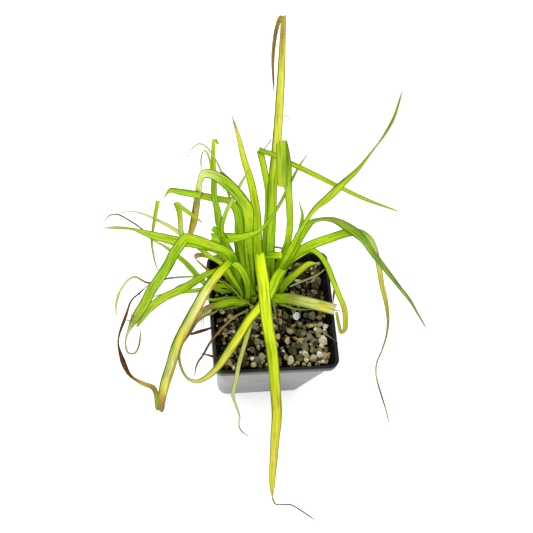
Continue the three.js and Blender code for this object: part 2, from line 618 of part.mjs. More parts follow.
/** The direction across the blade at each station. It starts square to the way the blade heads. A
 *  sharp turn carries it over unturned, as a folded strip does, and a long stretch turns the face
 *  back flat to the light. The greater part of the blade has its upper face to the light. */
function acrossOf(stations, tangents) {
  const [start] = stations;
  const lead = stations.find((point) => point.distanceTo(start) > grass.lead) ?? stations.at(-1);
  const flatten = (side, tangent) => side.addScaledVector(tangent, -side.dot(tangent)).normalize();
  const heading = new THREE.Vector3().subVectors(lead, start).cross(light);
  const across = [flatten(heading, tangents[0])];
  let faced = 0;
  for (let i = 1; i < stations.length; i += 1) {
    const tangent = tangents[i];
    const length = stations[i].distanceTo(stations[i - 1]);
    const flat = new THREE.Vector3().crossVectors(tangent, light);
    const share = Math.min(1, length / grass.ease) * flat.length();
    const carried = flatten(across[i - 1].clone(), tangent);
    flat.normalize().multiplyScalar(Math.sign(flat.dot(carried)) || 1);
    const side = flatten(carried.lerp(flat, share), tangent);
    across.push(side);
    faced += length * new THREE.Vector3().crossVectors(side, tangent).dot(light);
  }
  return faced < 0 ? across.map((side) => side.negate()) : across;
}

/** One blade: a shallow channel in section, closed at both ends. */
function bladeSolid({ route, width }) {
  const stations = stationsOf(route);
  const last = stations.length - 1;
  const step = (i) => new THREE.Vector3().subVectors(stations[i + 1], stations[i]).normalize();
  const tangents = stations.map((_, i) => (
    step(Math.max(0, i - 1)).add(step(Math.min(last - 1, i))).normalize()));
  const across = acrossOf(stations, tangents);
  const reach = [0];
  for (let i = 1; i <= last; i += 1) reach.push(reach[i - 1] + stations[i].distanceTo(stations[i - 1]));

  const positions = [];
  stations.forEach((station, i) => {
    const up = new THREE.Vector3().crossVectors(across[i], tangents[i]).normalize();
    const ahead = step(Math.min(last - 1, i));
    const lean = Math.atan2(Math.abs(ahead.dot(across[i])), ahead.dot(tangents[i]));
    const wide = along(width, reach[i] / reach[last]);
    const half = (wide / 2) * Math.min(grass.mitre, 1 / Math.cos(lean));
    for (const face of [1, -1]) {
      for (const side of [-1, 0, 1]) {
        const lift = Math.abs(side) * wide * grass.channel + face * grass.thickness / 2;
        const point = station.clone().addScaledVector(across[i], side * half).addScaledVector(up, lift);
        positions.push(...point.toArray());
      }
    }
  });

  // Each ring holds left, middle, right of the upper face, then of the lower face.
  // Both faces are split along the same diagonals, so a twisted stretch keeps its thickness.
  const index = [];
  const quad = (a, b, c, d) => index.push(a, b, c, a, c, d);
  for (let i = 0; i < last; i += 1) {
    const near = 6 * i;
    const far = near + 6;
    for (const k of [0, 1]) {
      quad(near + k, near + k + 1, far + k + 1, far + k);
      index.push(near + k + 3, far + k + 4, near + k + 4, near + k + 3, far + k + 3, far + k + 4);
    }
    quad(near + 3, near, far, far + 3);
    quad(near + 2, near + 5, far + 5, far + 2);
  }
  const end = 6 * last;
  for (const k of [0, 1]) {
    quad(k, k + 3, k + 4, k + 1);
    quad(end + k, end + k + 1, end + k + 4, end + k + 3);
  }
  const geometry = new THREE.BufferGeometry();
  geometry.setAttribute('position', new THREE.Float32BufferAttribute(positions, 3));
  geometry.setIndex(index);
  return toSolid(geometry);
}

/** A shoot: its blades, joined at the foot by the sheath that stands in the grit and soil. */
function shootSolid({ root, sheath, leaves }) {
  const foot = [[...root, grass.sown + 3], [...root, grass.throat]];
  const blades = leaves.map(({ from, route, width }) => (
    bladeSolid({ route: [...(from ? [from] : foot), ...route], width })));
  const stem = post(root[0], root[1], grass.sown, grass.sheathTop, sheath, sheath * 0.8, grass.sheathSides);
  return join([stem, ...blades]);
}

// ---- the part ----

function named(name, solid, color, roughness) {
  const material = new THREE.MeshStandardMaterial({ color, roughness, metalness: 0, flatShading: true });
  const mesh = new THREE.Mesh(toGeometry(solid), material);
  mesh.name = name;
  return mesh;
}

const part = new THREE.Group();
part.add(named('pot', potSolid(), plastic, 0.35));
part.add(named('potting_soil', soilSolid(), soilBrown, 0.95));
part.add(named('grit_topping', gritSolid(), gritTan, 0.85));
const plant = new THREE.Group();
for (const shoot of shoots) plant.add(named(shoot.name, shootSolid(shoot), shoot.color, 0.5));
part.add(plant);

export default part;
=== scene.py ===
"""A young carex sedge in its square nursery pot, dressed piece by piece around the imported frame.

Lengths are in metres, but the plant's routes are in millimetres, as on a drawing. The pot's
sides run along X and Y. Each shoot stands in its own place in the grit, and its leaves follow
their routes as flat blades, keeled along the midrib.
"""

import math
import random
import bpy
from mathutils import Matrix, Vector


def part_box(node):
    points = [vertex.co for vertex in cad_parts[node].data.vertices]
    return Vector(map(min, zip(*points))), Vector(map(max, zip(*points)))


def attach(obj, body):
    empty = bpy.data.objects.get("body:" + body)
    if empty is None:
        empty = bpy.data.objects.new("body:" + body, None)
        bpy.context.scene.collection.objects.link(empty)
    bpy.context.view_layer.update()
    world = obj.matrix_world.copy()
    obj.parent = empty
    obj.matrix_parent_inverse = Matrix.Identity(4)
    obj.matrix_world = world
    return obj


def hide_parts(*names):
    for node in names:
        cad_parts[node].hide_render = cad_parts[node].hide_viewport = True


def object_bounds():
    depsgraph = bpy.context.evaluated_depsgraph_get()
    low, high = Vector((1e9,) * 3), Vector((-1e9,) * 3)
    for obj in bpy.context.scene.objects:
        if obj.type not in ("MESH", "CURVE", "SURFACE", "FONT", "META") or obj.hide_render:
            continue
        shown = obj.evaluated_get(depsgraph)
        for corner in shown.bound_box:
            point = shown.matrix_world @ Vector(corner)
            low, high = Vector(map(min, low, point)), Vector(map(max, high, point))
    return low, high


bl_info = {
    "name": "Potted Sedge",
    "version": (1, 0, 0),
    "blender": (4, 5, 0),
    "location": "3D Viewport > Sidebar > Sedge",
    "description": "Adds a sedge in a square nursery pot: pot, soil, grit, shoots, litter and a studio",
    "category": "Add Mesh",
}

from collections import namedtuple
from contextlib import contextmanager
from itertools import accumulate

import bmesh
import bpy
from bpy.props import FloatProperty, FloatVectorProperty, IntProperty, PointerProperty, StringProperty
from mathutils import Color, Matrix, Quaternion, Vector, geometry, noise

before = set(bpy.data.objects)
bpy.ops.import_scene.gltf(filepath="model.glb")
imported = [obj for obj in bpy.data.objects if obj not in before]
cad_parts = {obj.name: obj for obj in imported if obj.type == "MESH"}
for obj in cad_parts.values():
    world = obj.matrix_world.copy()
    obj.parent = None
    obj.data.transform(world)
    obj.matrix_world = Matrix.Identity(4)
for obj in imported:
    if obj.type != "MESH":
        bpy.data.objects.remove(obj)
CAD_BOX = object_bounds()

MM = 0.001


# ---- the plant ----

# Heights above the ground, in millimetres: where a leaf starts in the soil, where it comes out of the
# grit, and where its sheath ends.
FOOT = 86
THROAT = 97.2
SHEATH_TOP = 100


def listed(text):
    """The entries of a list, parted by commas: each a tuple of its numbers and names."""
    return tuple(tuple(word if word.isalpha() else float(word) for word in entry.split())
                 for entry in text.split(","))


class Leaf:
    """A leaf's route is its midrib, from the throat of its shoot or from start. Its width and shade
    are given at shares of its length. A shade is the name of one of the leaf colours. Edges are the
    shades of its left and right margin, and the shares between which they show."""

    def __init__(self, route, width, shade, start=None, edges=None):
        self.route = listed(route)
        self.width = listed(width)
        self.shade = listed(shade)
        self.start = start
        self.edges = edges


# A shoot stands at its root, X and Y, in a sheath with this radius. Its slot names its finish.
Shoot = namedtuple("Shoot", "root sheath slot leaves")

SHOOTS = {
    "rear_shoot": Shoot((-1.3, 18.9), 2.7, "lime_leaf", (
        # The tallest, its tip folded down behind.
        Leaf("-1 24 120, -5 29 148, -7 40 178, -8 55 202, -6 73 217, -1 110 224, 5 151 220, 8 170 215, "
             "8.4 174.5 213, 7 174.5 210, 4 167 207, 1 150 200, 2 131 184",
             "0 4, 0.1 5.4, 0.2 6.2, 0.31 6, 0.42 6.2, 0.62 5.2, 0.76 4, 0.84 3.4, 0.92 2.4, 1 0.9",
             "0 deep, 0.2 green, 0.31 lime, 0.4 lime, 0.46 yellow, 0.64 yellow, 0.74 ochre, 0.8 ochre, "
             "0.86 tan, 0.95 tan, 1 brown", edges=("green", "yellow", 0.3, 0.76)),
        # Rises, and kinks over to the right.
        Leaf("-4 24 120, -9 33 155, -10 41 178, -11 51 196, -14 60 208, -16.3 67.8 214.2, -17 70 216",
             "0 3.4, 0.24 4.4, 0.49 4.6, 0.65 3.6, 0.87 4.2, 1 4.2",
             "0 deep, 0.36 green, 0.6 lime, 0.9 bright, 1 bright"),
        # Its broken arm, to the right.
        Leaf("-14.8 68.6 216.7, -9 65 219, 1 59 219, 14 54 215, 37 47 204, 55 43 194, 83 41 176",
             "0 3.4, 0.35 3.4, 0.7 2.4, 1 0.8", "0 green, 0.08 lime, 0.3 bright, 0.8 bright, 1 lemon",
             start=(-17.8, 70.4, 216.4)),
        # Straight and yellow.
        Leaf("-8 23.5 120, -13.7 29.5 144, -17 42 177, -22 58 197, -26 69 204, -29 84 208, -32 101 207",
             "0 3.2, 0.2 7, 0.4 7, 0.56 5.8, 0.72 4.9, 0.85 3.6, 1 1",
             "0 green, 0.3 lime, 0.55 bright, 0.72 acid, 0.92 yellow, 1 dark"),
        # A short broken leaf.
        Leaf("-3 25.2 144.6, 2 22.6 151", "0 4.6, 0.5 5, 1 4.8", "0 green, 0.5 lime, 0.8 bright, 1 lemon",
             start=(-7.6, 27.8, 139)),
        # A loose fibre.
        Leaf("3 90 222.5, 6 86 221", "0 0.5, 1 0.4", "0 tan, 1 brown", start=(0, 92, 222)),
        # A longer loose fibre.
        Leaf("-12 76 208, -16 73 200", "0 0.6, 1 0.4", "0 tan, 1 brown", start=(-8, 80, 212)),
        # A brown scale.
        Leaf("-12.5 38.5 138.5, -11 35 136", "0 1.6, 0.5 3, 1 1.4", "0 brown, 0.5 tan, 1 brown",
             start=(-14, 41, 140)),
    )),
    "rear_right_shoot": Shoot((2.6, 23.2), 2.2, "green_leaf", (
        # Broad, its end folded forward and hanging.
        Leaf("3 26 114, 5 28.5 137, 6 30 156, 5 34 177, 2 39 198, -1 45 216, -3 52 230, -6 59 240, "
             "-7.5 62 243.5, -8.5 60.5 246, -8.5 56 245, -8 48 238, -6 40 223",
             "0 3.4, 0.2 4.2, 0.35 4.6, 0.55 4.6, 0.7 5.2, 0.8 6.6, 0.96 6.8, 1 5.8",
             "0 green, 0.4 bright, 0.65 lime, 0.8 green, 0.86 green, 1 lime"),
        # A thin side leaf.
        Leaf("8.2 28 112, 8 30.5 128, 5.5 33 138, -1 33 142", "0 1, 0.45 1.3, 0.65 2.8, 1 2.6",
             "0 green, 1 olive"),
    )),
    "right_shoot": Shoot((4.8, 17.9), 2.7, "green_leaf", (
        # The long one that sweeps up and back.
        Leaf("3.5 21 120, 6.5 23.5 149, 9 25 180, 12 27 200, 16 30 211, 24 34 220, 32 40 225, 42 48 228, "
             "55 63 227, 65 76 223, 75 92 217, 87 119 207",
             "0 3.4, 0.25 4, 0.4 3.2, 0.47 2.6, 0.515 3.6, 0.56 5.4, 0.6 4.4, 0.65 2.7, 0.7 1.7, "
             "0.74 0.9, 0.8 1.8, 0.86 2.2, 0.93 1.5, 1 0.8",
             "0 green, 0.28 bright, 0.4 lime, 0.55 bright, 0.68 lime, 0.76 green, 0.84 deep, 0.92 deep, "
             "1 green", edges=("deep", "lime", 0.3, 0.72)),
        # The high arch on the right.
        Leaf("4 21 118, 9.5 25.5 147, 12 28 172, 15 29 188, 19 27 200, 28 25 204, 40 21 198, 50 18 188, "
             "60 14 172, 69 11 158, 79 8 142, 90 5 124, 102 2 104, 114 -1 80, 126 -6 58",
             "0 3.6, 0.12 5, 0.2 6, 0.3 6.6, 0.345 5.6, 0.37 2.6, 0.4 2.8, 0.43 5.2, 0.455 6.6, "
             "0.475 6.4, 0.5 5, 0.57 4.2, 0.65 3.8, 0.72 3, 0.83 2.4, 0.93 1.4, 1 0.8",
             "0 green, 0.2 lime, 0.35 green, 0.4 olive, 0.46 deep, 0.8 deep, 0.92 olive, 1 straw",
             edges=("deep", "green", 0.4, 1)),
        # Small and upright.
        Leaf("8.5 24 128, 11.5 28 155, 12 32 178, 11.5 35 190, 9 37 199, 7 40 204",
             "0 2, 0.5 2.4, 0.8 2.6, 1 0.8", "0 green, 0.5 bright, 1 green"),
        # The one that falls to the ground in a dried thread.
        Leaf("4.8 19.3 112, 7.5 24 130, 14.5 26.5 148, 24 27 160, 34 28 166, 47 32 165, 57 34 158, "
             "67 33 146, 73 30 132, 79 25 114, 85 19 94, 92 11 74, 97 3 54, 97 -6 42, 94 -15 33, "
             "91 -22 26, 91 -30 20, 95 -43 12, 99 -55 6, 101 -66 2",
             "0 3.4, 0.14 5.6, 0.24 6.6, 0.32 5.8, 0.41 5.2, 0.47 5, 0.54 4.3, 0.61 3.7, 0.67 3.1, "
             "0.73 2, 0.8 1.1, 0.92 1.1, 1 0.8",
             "0 green, 0.2 bright, 0.29 lime, 0.34 deep, 0.39 lime, 0.43 pale, 0.5 yellow, 0.58 yellow, "
             "0.62 yellow, 0.68 ochre, 0.74 straw, 0.84 straw, 0.87 cream, 0.9 brown, 0.93 dark, "
             "0.96 straw, 1 straw", edges=("ochre", "yellow", 0.5, 0.66)),
        # The hook over the right edge.
        Leaf("5.5 17.8 112, 8.8 23.8 128, 16.5 29 138, 23.5 29.5 143, 29 26 144, 35 19 140, 40 11 131, "
             "46 3 119, 52 -3 105, 54 -9 94, 54.5 -12.5 86, 52.5 -13.5 84, 50 -10 90, 47 -3 100",
             "0 3, 0.3 3.8, 0.75 3.9, 0.85 3.7, 0.89 2.4, 1 2",
             "0 green, 0.4 lime, 0.55 bright, 0.65 acid, 0.75 lemon, 0.9 lemon, 1 yellow"),
        # Short and broad, over the grit.
        Leaf("6.8 14.5 103, 10 17.5 110, 19.5 23 120, 26.5 27.5 120, 35 29.5 115",
             "0 3.6, 0.5 5.6, 0.8 4.2, 1 1", "0 green, 0.5 lime, 1 lemon"),
        # Pale, beside it.
        Leaf("5 20 104, 8.5 24.5 113, 13.8 29.5 121, 20.6 31.9 128, 27.2 33.8 133",
             "0 2.4, 0.5 3.2, 1 2.8", "0 olive, 0.3 lemon, 0.8 yellow, 1 olive"),
        # A brown scale.
        Leaf("36 40.5 126, 38 41 128", "0 0.8, 0.5 1.4, 1 0.6", "0 brown, 1 tan", start=(33, 40, 122)),
    )),
    "yellowing_right_shoot": Shoot((1.6, 12.6), 2.6, "yellow_leaf", (
        # Broad, cut off square over the right rim.
        Leaf("3.5 9.5 101, 11.5 5.5 110, 22 1 114, 33 -2 113, 44 -4 109",
             "0 3, 0.1 4, 0.26 7.2, 0.6 8, 1 7.9",
             "0 green, 0.35 lime, 0.5 olive, 0.72 pale, 0.88 yellow, 1 cream"),
        # Thin, close to the grit.
        Leaf("3.5 8 100, 16 0 103, 31 -1 101.5", "0 1.6, 0.5 1.9, 1 0.8", "0 green, 1 olive"),
        # Across the left front corner and back in a dried loop.
        Leaf("1.5 13.5 112, 2.2 15.3 129, 3.8 17.2 136, 2.2 14.6 140.5, -1.8 9.3 143, -8 -3 147, "
             "-14 -11 147, -23 -20 143, -30 -29 136, -36 -36 127, -44 -44 114, -51 -47 100, -57 -47 91, "
             "-63 -43 86, -67 -34 84, -68 -26 85, -66 -19 89, -60 -12 96, -53 -4 104, -45 0 108",
             "0 3, 0.16 5.8, 0.28 6.6, 0.5 6.2, 0.58 5.2, 0.65 3.8, 0.72 3, 0.8 2.2, 0.9 2, 0.96 2.4, "
             "1 1.8",
             "0 green, 0.18 bright, 0.28 bright, 0.36 acid, 0.46 lemon, 0.55 yellow, 0.66 yellow, "
             "0.72 pale, 0.77 olive, 0.82 tan, 0.88 brown, 0.94 tan, 1 pale",
             edges=("olive", "deep", 0.34, 0.74)),
        # A short stub leaf.
        Leaf("1.5 5.5 100, 1.5 0.5 102, 2.5 -5.5 101.5", "0 1.8, 0.6 2.2, 1 1.2", "0 green, 1 olive"),
    )),
    "front_leaf": Shoot((-5.2, 13.6), 2.3, "yellow_leaf", (
        # The rise of the long lime leaf.
        Leaf("-8.4 17.2 118, -12 19.8 143, -14.8 18.4 158, -15.4 17.2 164.6", "0 3.2, 0.6 4.6, 1 5",
             "0 deep, 0.5 green, 1 lime"),
        # Its long arm, towards the viewer.
        Leaf("-15.9 14.6 168, -16.4 7.4 171, -16 -7 173, -16 -28 172, -13 -49 163, -10 -70 143, "
             "-8 -83 126, -8 -94 110, -8 -107 93, -8 -118 78, -7 -129 64",
             "0 5.4, 0.02 7, 0.05 7.8, 0.16 8, 0.35 7.2, 0.64 6.8, 0.83 5.4, 0.93 4, 1 1",
             "0 acid, 0.4 acid, 0.6 lemon, 0.8 yellow, 0.95 lemon, 1 tan", start=(-15.5, 18, 164.2)),
        # The dried thread at its tip.
        Leaf("-5 -132 63, 3 -132 58, 7 -132 55, 14 -135 50, 21 -139 45, 28 -143 40", "0 1, 1 0.8",
             "0 tan, 0.4 brown, 1 dark", start=(-7, -128, 65)),
    )),
    "front_thin_shoot": Shoot((-9, 6), 1.9, "pale_leaf", (
        # Hangs down in front of the pot.
        Leaf("-16 -8 108, -22 -23 114, -26 -34 113, -29 -43 109, -30 -49 100, -31 -53 90, -31 -55 79, "
             "-28 -59 66, -24 -64 51, -23 -69 36, -18 -72 26, -14 -73 21",
             "0 2.2, 0.3 3.2, 0.6 2.6, 0.75 1.4, 1 0.8",
             "0 lime, 0.15 olive, 0.35 pale, 0.6 pale, 0.8 pale, 0.86 cream, 0.92 dark, 0.95 straw, "
             "1 dark"),
        # A thin straw-coloured leaf across the crown.
        Leaf("-12 3 102, -17 2 110, -24 4 118, -31 9 126, -39 13 134", "0 1.3, 1 0.9",
             "0 acid, 0.4 olive, 1 olive"),
    )),
    "rear_left_shoot": Shoot((-12.2, 12.4), 2.8, "lime_leaf", (
        # The broad arch, its end folded and hanging.
        Leaf("-16 18.5 118, -20 28 146, -22.5 32 171, -24.5 35 190, -27 36.5 204, -31 37.5 213, "
             "-36.5 40 221, -42 43 226, -48 47 227, -52 49.3 226, -54.6 50 224, -56 50 220.5, "
             "-57 47 207, -58 43 193, -59 39 178, -61 35 165",
             "0 3.8, 0.2 6, 0.45 6.8, 0.52 8, 0.66 7.8, 0.7 5.8, 0.8 5.6, 0.95 5.2, 1 3.6",
             "0 deep, 0.2 green, 0.4 lime, 0.5 bright, 0.6 lime, 0.67 green, 0.73 pale, 0.79 pale, "
             "0.86 olive, 0.92 ochre, 1 ochre", edges=("ochre", "brown", 0.84, 1)),
        # Broad, then narrow and kinked to the left.
        Leaf("-19 18 120, -24 29 146, -28 35 166, -30 39 181, -33 41 192, -38 43 199, -47 43 203, "
             "-57 45 204, -69 50 199, -75 53 195, -79 51 188",
             "0 3.6, 0.3 6.8, 0.48 7, 0.6 5.2, 0.75 5, 0.88 4.6, 0.95 3.2, 1 1.2",
             "0 deep, 0.25 green, 0.45 lime, 0.55 green, 0.75 lime, 0.9 green, 1 lime"),
        # Thin, hooked at the top.
        Leaf("-17 19 116, -21 29.5 140, -25 37 159, -31 43 176, -37 49 195, -42 55 211, -46 61 219, "
             "-53 69 225, -57 71.5 224, -62 71 216, -63 70 211", "0 1.6, 0.5 1.7, 1 0.8",
             "0 deep, 0.3 green, 0.6 lime, 0.8 pale, 1 cream"),
        # Narrow, with a dead tip.
        Leaf("-15 19 115, -19 30 138, -23 38 157, -27 44 175, -31 48 192, -35 52 205, -43 55 216",
             "0 2.6, 0.4 4, 0.75 4, 1 1.4", "0 deep, 0.3 green, 0.75 lime, 1 tan"),
        # A loose fibre.
        Leaf("-63 74 203, -62 69 208", "0 0.5, 1 0.5", "0 straw, 1 tan", start=(-63, 76, 200)),
    )),
    "left_shoot": Shoot((-19.5, 21.5), 2.4, "green_leaf", (
        # Upright, hooked at the top.
        Leaf("-25.5 24 118, -33 29.5 144, -40 32 165, -43 35 180, -45 37 195, -48 41 208, -48 55 216, "
             "-48 63 217, -47 72 215, -46 80 211, -44.5 83.5 207, -42 84 199",
             "0 3.4, 0.1 5.2, 0.24 5.6, 0.4 5, 0.55 4.4, 0.75 3.4, 0.9 2.4, 1 1.7",
             "0 deep, 0.2 green, 0.45 lime, 0.7 green, 0.85 lime, 1 lemon"),
        # Thin, bent over at the top.
        Leaf("-26.5 25 116, -34 30.5 141, -40 35 160, -44 38 175, -46 43 188, -48 50 198, -48 57 204, "
             "-50 72 208, -52 76 206, -53.5 74.5 199, -53 70 186", "0 1.6, 0.5 2, 1 0.9",
             "0 deep, 0.2 green, 0.55 lime, 0.8 lemon, 0.9 pale, 1 olive"),
        # Bent back to the right.
        Leaf("-24.5 24 118, -33 29.5 145, -39 32 163, -41 34 178, -40 36 194, -38 37 207, -34 43 212, "
             "-25 56 220", "0 2, 0.5 3, 0.85 2.8, 1 0.8", "0 deep, 0.25 green, 0.6 lime, 1 pale"),
        # An inner leaf, short.
        Leaf("-21.4 24 118, -24.6 29.3 132, -26 33.5 142, -27.2 35.6 148", "0 3, 0.2 3.6, 0.45 6, 1 6",
             "0 deep, 1 green"),
        # The rise of the long diagonal across the back.
        Leaf("-25.5 25 116, -30.5 29.6 128, -36.8 33.3 138, -42.5 35.5 148, -43.4 36 153.4",
             "0 2.6, 0.5 4, 0.85 5, 1 5", "0 deep, 0.5 green, 1 lime"),
        # Its arm, to the right, painted deep green past its middle as painted shade, where seen edge-on.
        Leaf("-41.4 34.4 156.4, -37 31.7 163, -30 28.4 171, -22.7 27.4 177, -16.8 27.4 184, -11 31 193, "
             "-4 40 199, 3 52 204, 9 62 206, 17 73 206",
             "0 6, 0.06 7, 0.18 6.6, 0.27 5, 0.36 3.4, 0.48 2.2, 0.8 1.8, 1 0.8",
             "0 green, 0.1 lime, 0.3 lime, 0.45 green, 0.7 deep, 0.9 green, 1 lime",
             start=(-45.6, 36.6, 153)),
        # A short stub with a torn end.
        Leaf("-42 34 167, -46.5 37 168.5", "0 3.4, 0.6 4.2, 1 3.6", "0 green, 1 lime",
             start=(-37, 30, 163)),
        # A loose fibre.
        Leaf("-51.5 51.5 198.5, -50 49 197", "0 0.5, 1 0.4", "0 tan, 1 brown", start=(-53, 53, 200)),
        # A loose fibre.
        Leaf("-39 51.5 193.5, -37 49 190", "0 0.5, 1 0.4", "0 tan, 1 brown", start=(-41, 53, 196)),
    )),
    "left_arching_shoot": Shoot((-18.5, 15.5), 2.4, "lime_leaf", (
        # Kinked down to the left, ending in a curl.
        Leaf("-24.6 17.9 114, -28 19.5 136, -33 21 156, -40 20 172, -51 19 184, -60 20 190, "
             "-64.4 20.7 190.7, -67 21 191, -68.6 19.5 189.3, -74 14 183, -78 9 174, -83 5 163, "
             "-88 2 149, -93 -3 134, -98 -6 119, -102 -9 107, -105 -13 98, -106 -17 90, -104 -21.5 84, "
             "-100 -22 84, -97 -19 88, -95 -10 103",
             "0 3.4, 0.12 5.2, 0.3 6.8, 0.74 6.8, 0.785 5.6, 0.81 2.2, 0.835 1.3, 0.93 1.5, 1 0.8",
             "0 deep, 0.12 deep, 0.25 green, 0.4 bright, 0.46 lime, 0.53 green, 0.62 green, 0.7 lime, "
             "0.78 olive, 0.83 pale, 0.88 ochre, 1 tan"),
        # Out to the far left, pinched near its tip.
        Leaf("-26.5 21 116, -34 23.5 140, -43 25 158, -54 24 170, -63 24 176, -72 25 177, -79 28 175, "
             "-87 33 169, -93 38 163, -100 44 155, -109 50 144, -120 56 131",
             "0 3, 0.4 5, 0.6 6.8, 0.72 4.8, 0.82 1.3, 0.9 2.2, 1 0.8",
             "0 deep, 0.2 green, 0.45 lime, 0.7 lime, 0.85 green, 1 pale"),
        # A strip torn off the kinked leaf's edge.
        Leaf("-84 8 168, -87 24 164, -87 33 163, -85 44 167, -82 57 171",
             "0 1.4, 0.6 1.5, 0.8 2.4, 1 2.8", "0 lime, 0.2 pale, 0.6 green, 1 bright",
             start=(-79, 8, 172)),
        # Its torn corner.
        Leaf("-101 -1 94, -108 2 92", "0 0.9, 0.6 1, 1 0.6", "0 pale, 1 straw", start=(-101, 2, 100)),
    )),
    "pale_left_shoot": Shoot((-22.4, 11.8), 2, "pale_leaf", (
        # Pale, to the far left.
        Leaf("-21.4 11.7 103, -26.5 13 120, -32.2 16.8 132, -37.3 19.1 144, -43 20.7 151, -48 21 157, "
             "-59 27 166, -66 32 168, -74 39 167, -81 45 164, -93 56 154, -100 61 146, -109 65 135",
             "0 2.4, 0.35 3.4, 0.6 3.2, 0.78 1.6, 0.9 0.9, 1 0.8",
             "0 deep, 0.2 green, 0.45 bright, 0.55 lime, 0.66 pale, 0.8 pale, 1 cream"),
        # Kinked back on itself.
        Leaf("-60 27 167, -66 30 170, -68 34 174, -69 42 184, -71 47.5 189, -69 44 191, -63 38 191.5, "
             "-53 32 186", "0 2.6, 0.5 3.4, 0.63 3.8, 0.85 2.8, 1 0.8",
             "0 lime, 0.25 pale, 0.5 bright, 0.7 green, 1 acid", start=(-53, 24, 161.5)),
        # Short, low over the rim.
        Leaf("-28.5 11.5 99, -37.5 9 105, -45 8 107, -55 13.5 108", "0 2, 0.5 2.8, 1 1.1",
             "0 deep, 0.4 green, 1 bright"),
    )),
    "yellowing_left_shoot": Shoot((-17.4, 9.8), 2.2, "yellow_leaf", (
        # The rise of the big yellow arch.
        Leaf("-17.6 11.9 106, -20.2 14.1 126, -25.1 16.7 141, -31.1 17.3 153, -36.5 14.5 159.5",
             "0 3.2, 0.4 4.4, 0.75 5.6, 1 6", "0 deep, 0.5 green, 0.8 bright, 1 bright"),
        # Its arm, to the left, with its tail.
        Leaf("-39.6 11.2 161, -43 8 161, -52 -3 161, -59 -14 158, -66 -24 151, -73 -35 140, -77 -45 127, "
             "-81 -54 111, -83 -61.5 97, -83.5 -65 89.5, -84.5 -65.5 86.5, -85.5 -61 86, -86 -53 87, "
             "-88 -49 88, -96 -44 84, -104 -37 82, -110 -21 84, -111 -13 88, -105 1 101, -101 9 109, "
             "-96 12 114, -88 17 120",
             "0 4.6, 0.04 5.8, 0.12 7, 0.4 7, 0.48 6, 0.52 5, 0.55 3.2, 0.585 4, 0.62 3.8, 0.66 2.6, "
             "0.69 1, 0.715 4.6, 0.735 4.2, 0.77 1, 0.8 1, 0.86 2.4, 0.9 1.2, 1 0.8",
             "0 lime, 0.06 lemon, 0.12 pale, 0.19 pale, 0.26 yellow, 0.33 pale, 0.38 pale, 0.43 yellow, "
             "0.47 ochre, 0.52 tan, 0.545 green, 0.57 green, 0.6 tan, 0.64 ochre, 0.68 brown, 0.7 dark, "
             "0.77 dark, 0.8 brown, 0.84 dark, 0.9 brown, 1 dark", start=(-35.4, 15.7, 159.2),
             edges=("ochre", "deep", 0.02, 0.5)),
        # To the left, dried brown at its end.
        Leaf("-22.5 6.5 101, -29 6.5 104, -36 4.5 106, -49 2 104.5, -58 -5 96",
             "0 3, 0.3 5.4, 0.5 5.8, 0.65 5, 0.8 3.6, 1 1.4",
             "0 green, 0.3 lime, 0.58 lime, 0.66 olive, 0.72 tan, 0.8 straw, 0.88 straw, 1 tan"),
        # Small, below it.
        Leaf("-22 5.5 99.3, -34.5 2 101.5, -39 0 101", "0 1.6, 0.6 2.2, 1 1", "0 green, 1 olive"),
        # The hook at its end.
        Leaf("-94.5 14 104.5, -94 12 102", "0 1, 1 0.7", "0 brown, 1 dark", start=(-95, 15, 107)),
        # A torn fibre.
        Leaf("-50 -3 101, -50.5 -9 96", "0 0.7, 1 0.4", "0 straw, 1 brown", start=(-47, 2, 104.5)),
        # A torn fibre.
        Leaf("-52 -5 101, -52 -10 97", "0 0.7, 1 0.4", "0 tan, 1 brown", start=(-50, 1, 104.5)),
        # A torn strip.
        Leaf("-43 -1 104.5, -50 -3 103, -57 -8 97", "0 0.8, 0.5 1.8, 1 0.8", "0 tan, 0.5 straw, 1 tan",
             start=(-37, 3, 104.5)),
    )),
    "low_left_shoot": Shoot((-24.4, 17.6), 2.2, "green_leaf", (
        # Broad, down to the left.
        Leaf("-27.5 20 105, -33 21.5 120, -39 21.5 132, -44 18.5 138, -51 15 140, -65 8 135, -79 6 121, "
             "-85 5 111, -91 3 99, -97 -2 84",
             "0 3, 0.2 4.4, 0.4 5.6, 0.5 6.6, 0.6 6, 0.8 5.6, 0.92 4.6, 1 1.4",
             "0 deep, 0.2 green, 0.38 bright, 0.5 lime, 0.65 bright, 1 lime"),
        # Thin, ending in a long dry thread.
        Leaf("-35 14.5 106, -44 14 117, -51 14.5 126, -61 20 141, -66 23 147, -78 32 151, -87 39 149, "
             "-92 47 146, -100 57 139, -109 66 131, -114 67 127, -119 64 121",
             "0 2.4, 0.3 3.8, 0.44 3.8, 0.55 2.6, 0.62 1.2, 0.72 1, 1 0.8",
             "0 olive, 0.2 green, 0.35 bright, 0.5 lime, 0.6 pale, 0.7 green, 0.76 brown, 0.9 dark, 1 tan"),
        # Low.
        Leaf("-28 17 101, -34 17.5 108, -43 16 113, -52 13 115, -62 12.5 114, -73 13 110, -87 14 101",
             "0 2, 0.4 3.1, 0.7 2.8, 1 0.9", "0 green, 0.4 bright, 0.75 lime, 1 pale"),
        # Thin and dry, curled at the far left.
        Leaf("-29 18 102, -37 19.5 112, -48 20 122, -58 18.5 127, -76 17 129, -89 15 127, -99 21 124, "
             "-108 16 114, -112 6 100, -111 3 94", "0 1.5, 0.6 1.2, 0.9 1.7, 1 1.2",
             "0 green, 0.3 lime, 0.38 pale, 0.5 green, 0.57 dark, 0.63 brown, 0.69 ochre, 0.78 pale, "
             "0.87 yellow, 1 cream"),
    )),
    "dead_leaf": Shoot((-24.8, 23.8), 1.3, "dead_leaf", (
        # Brown, doubled back.
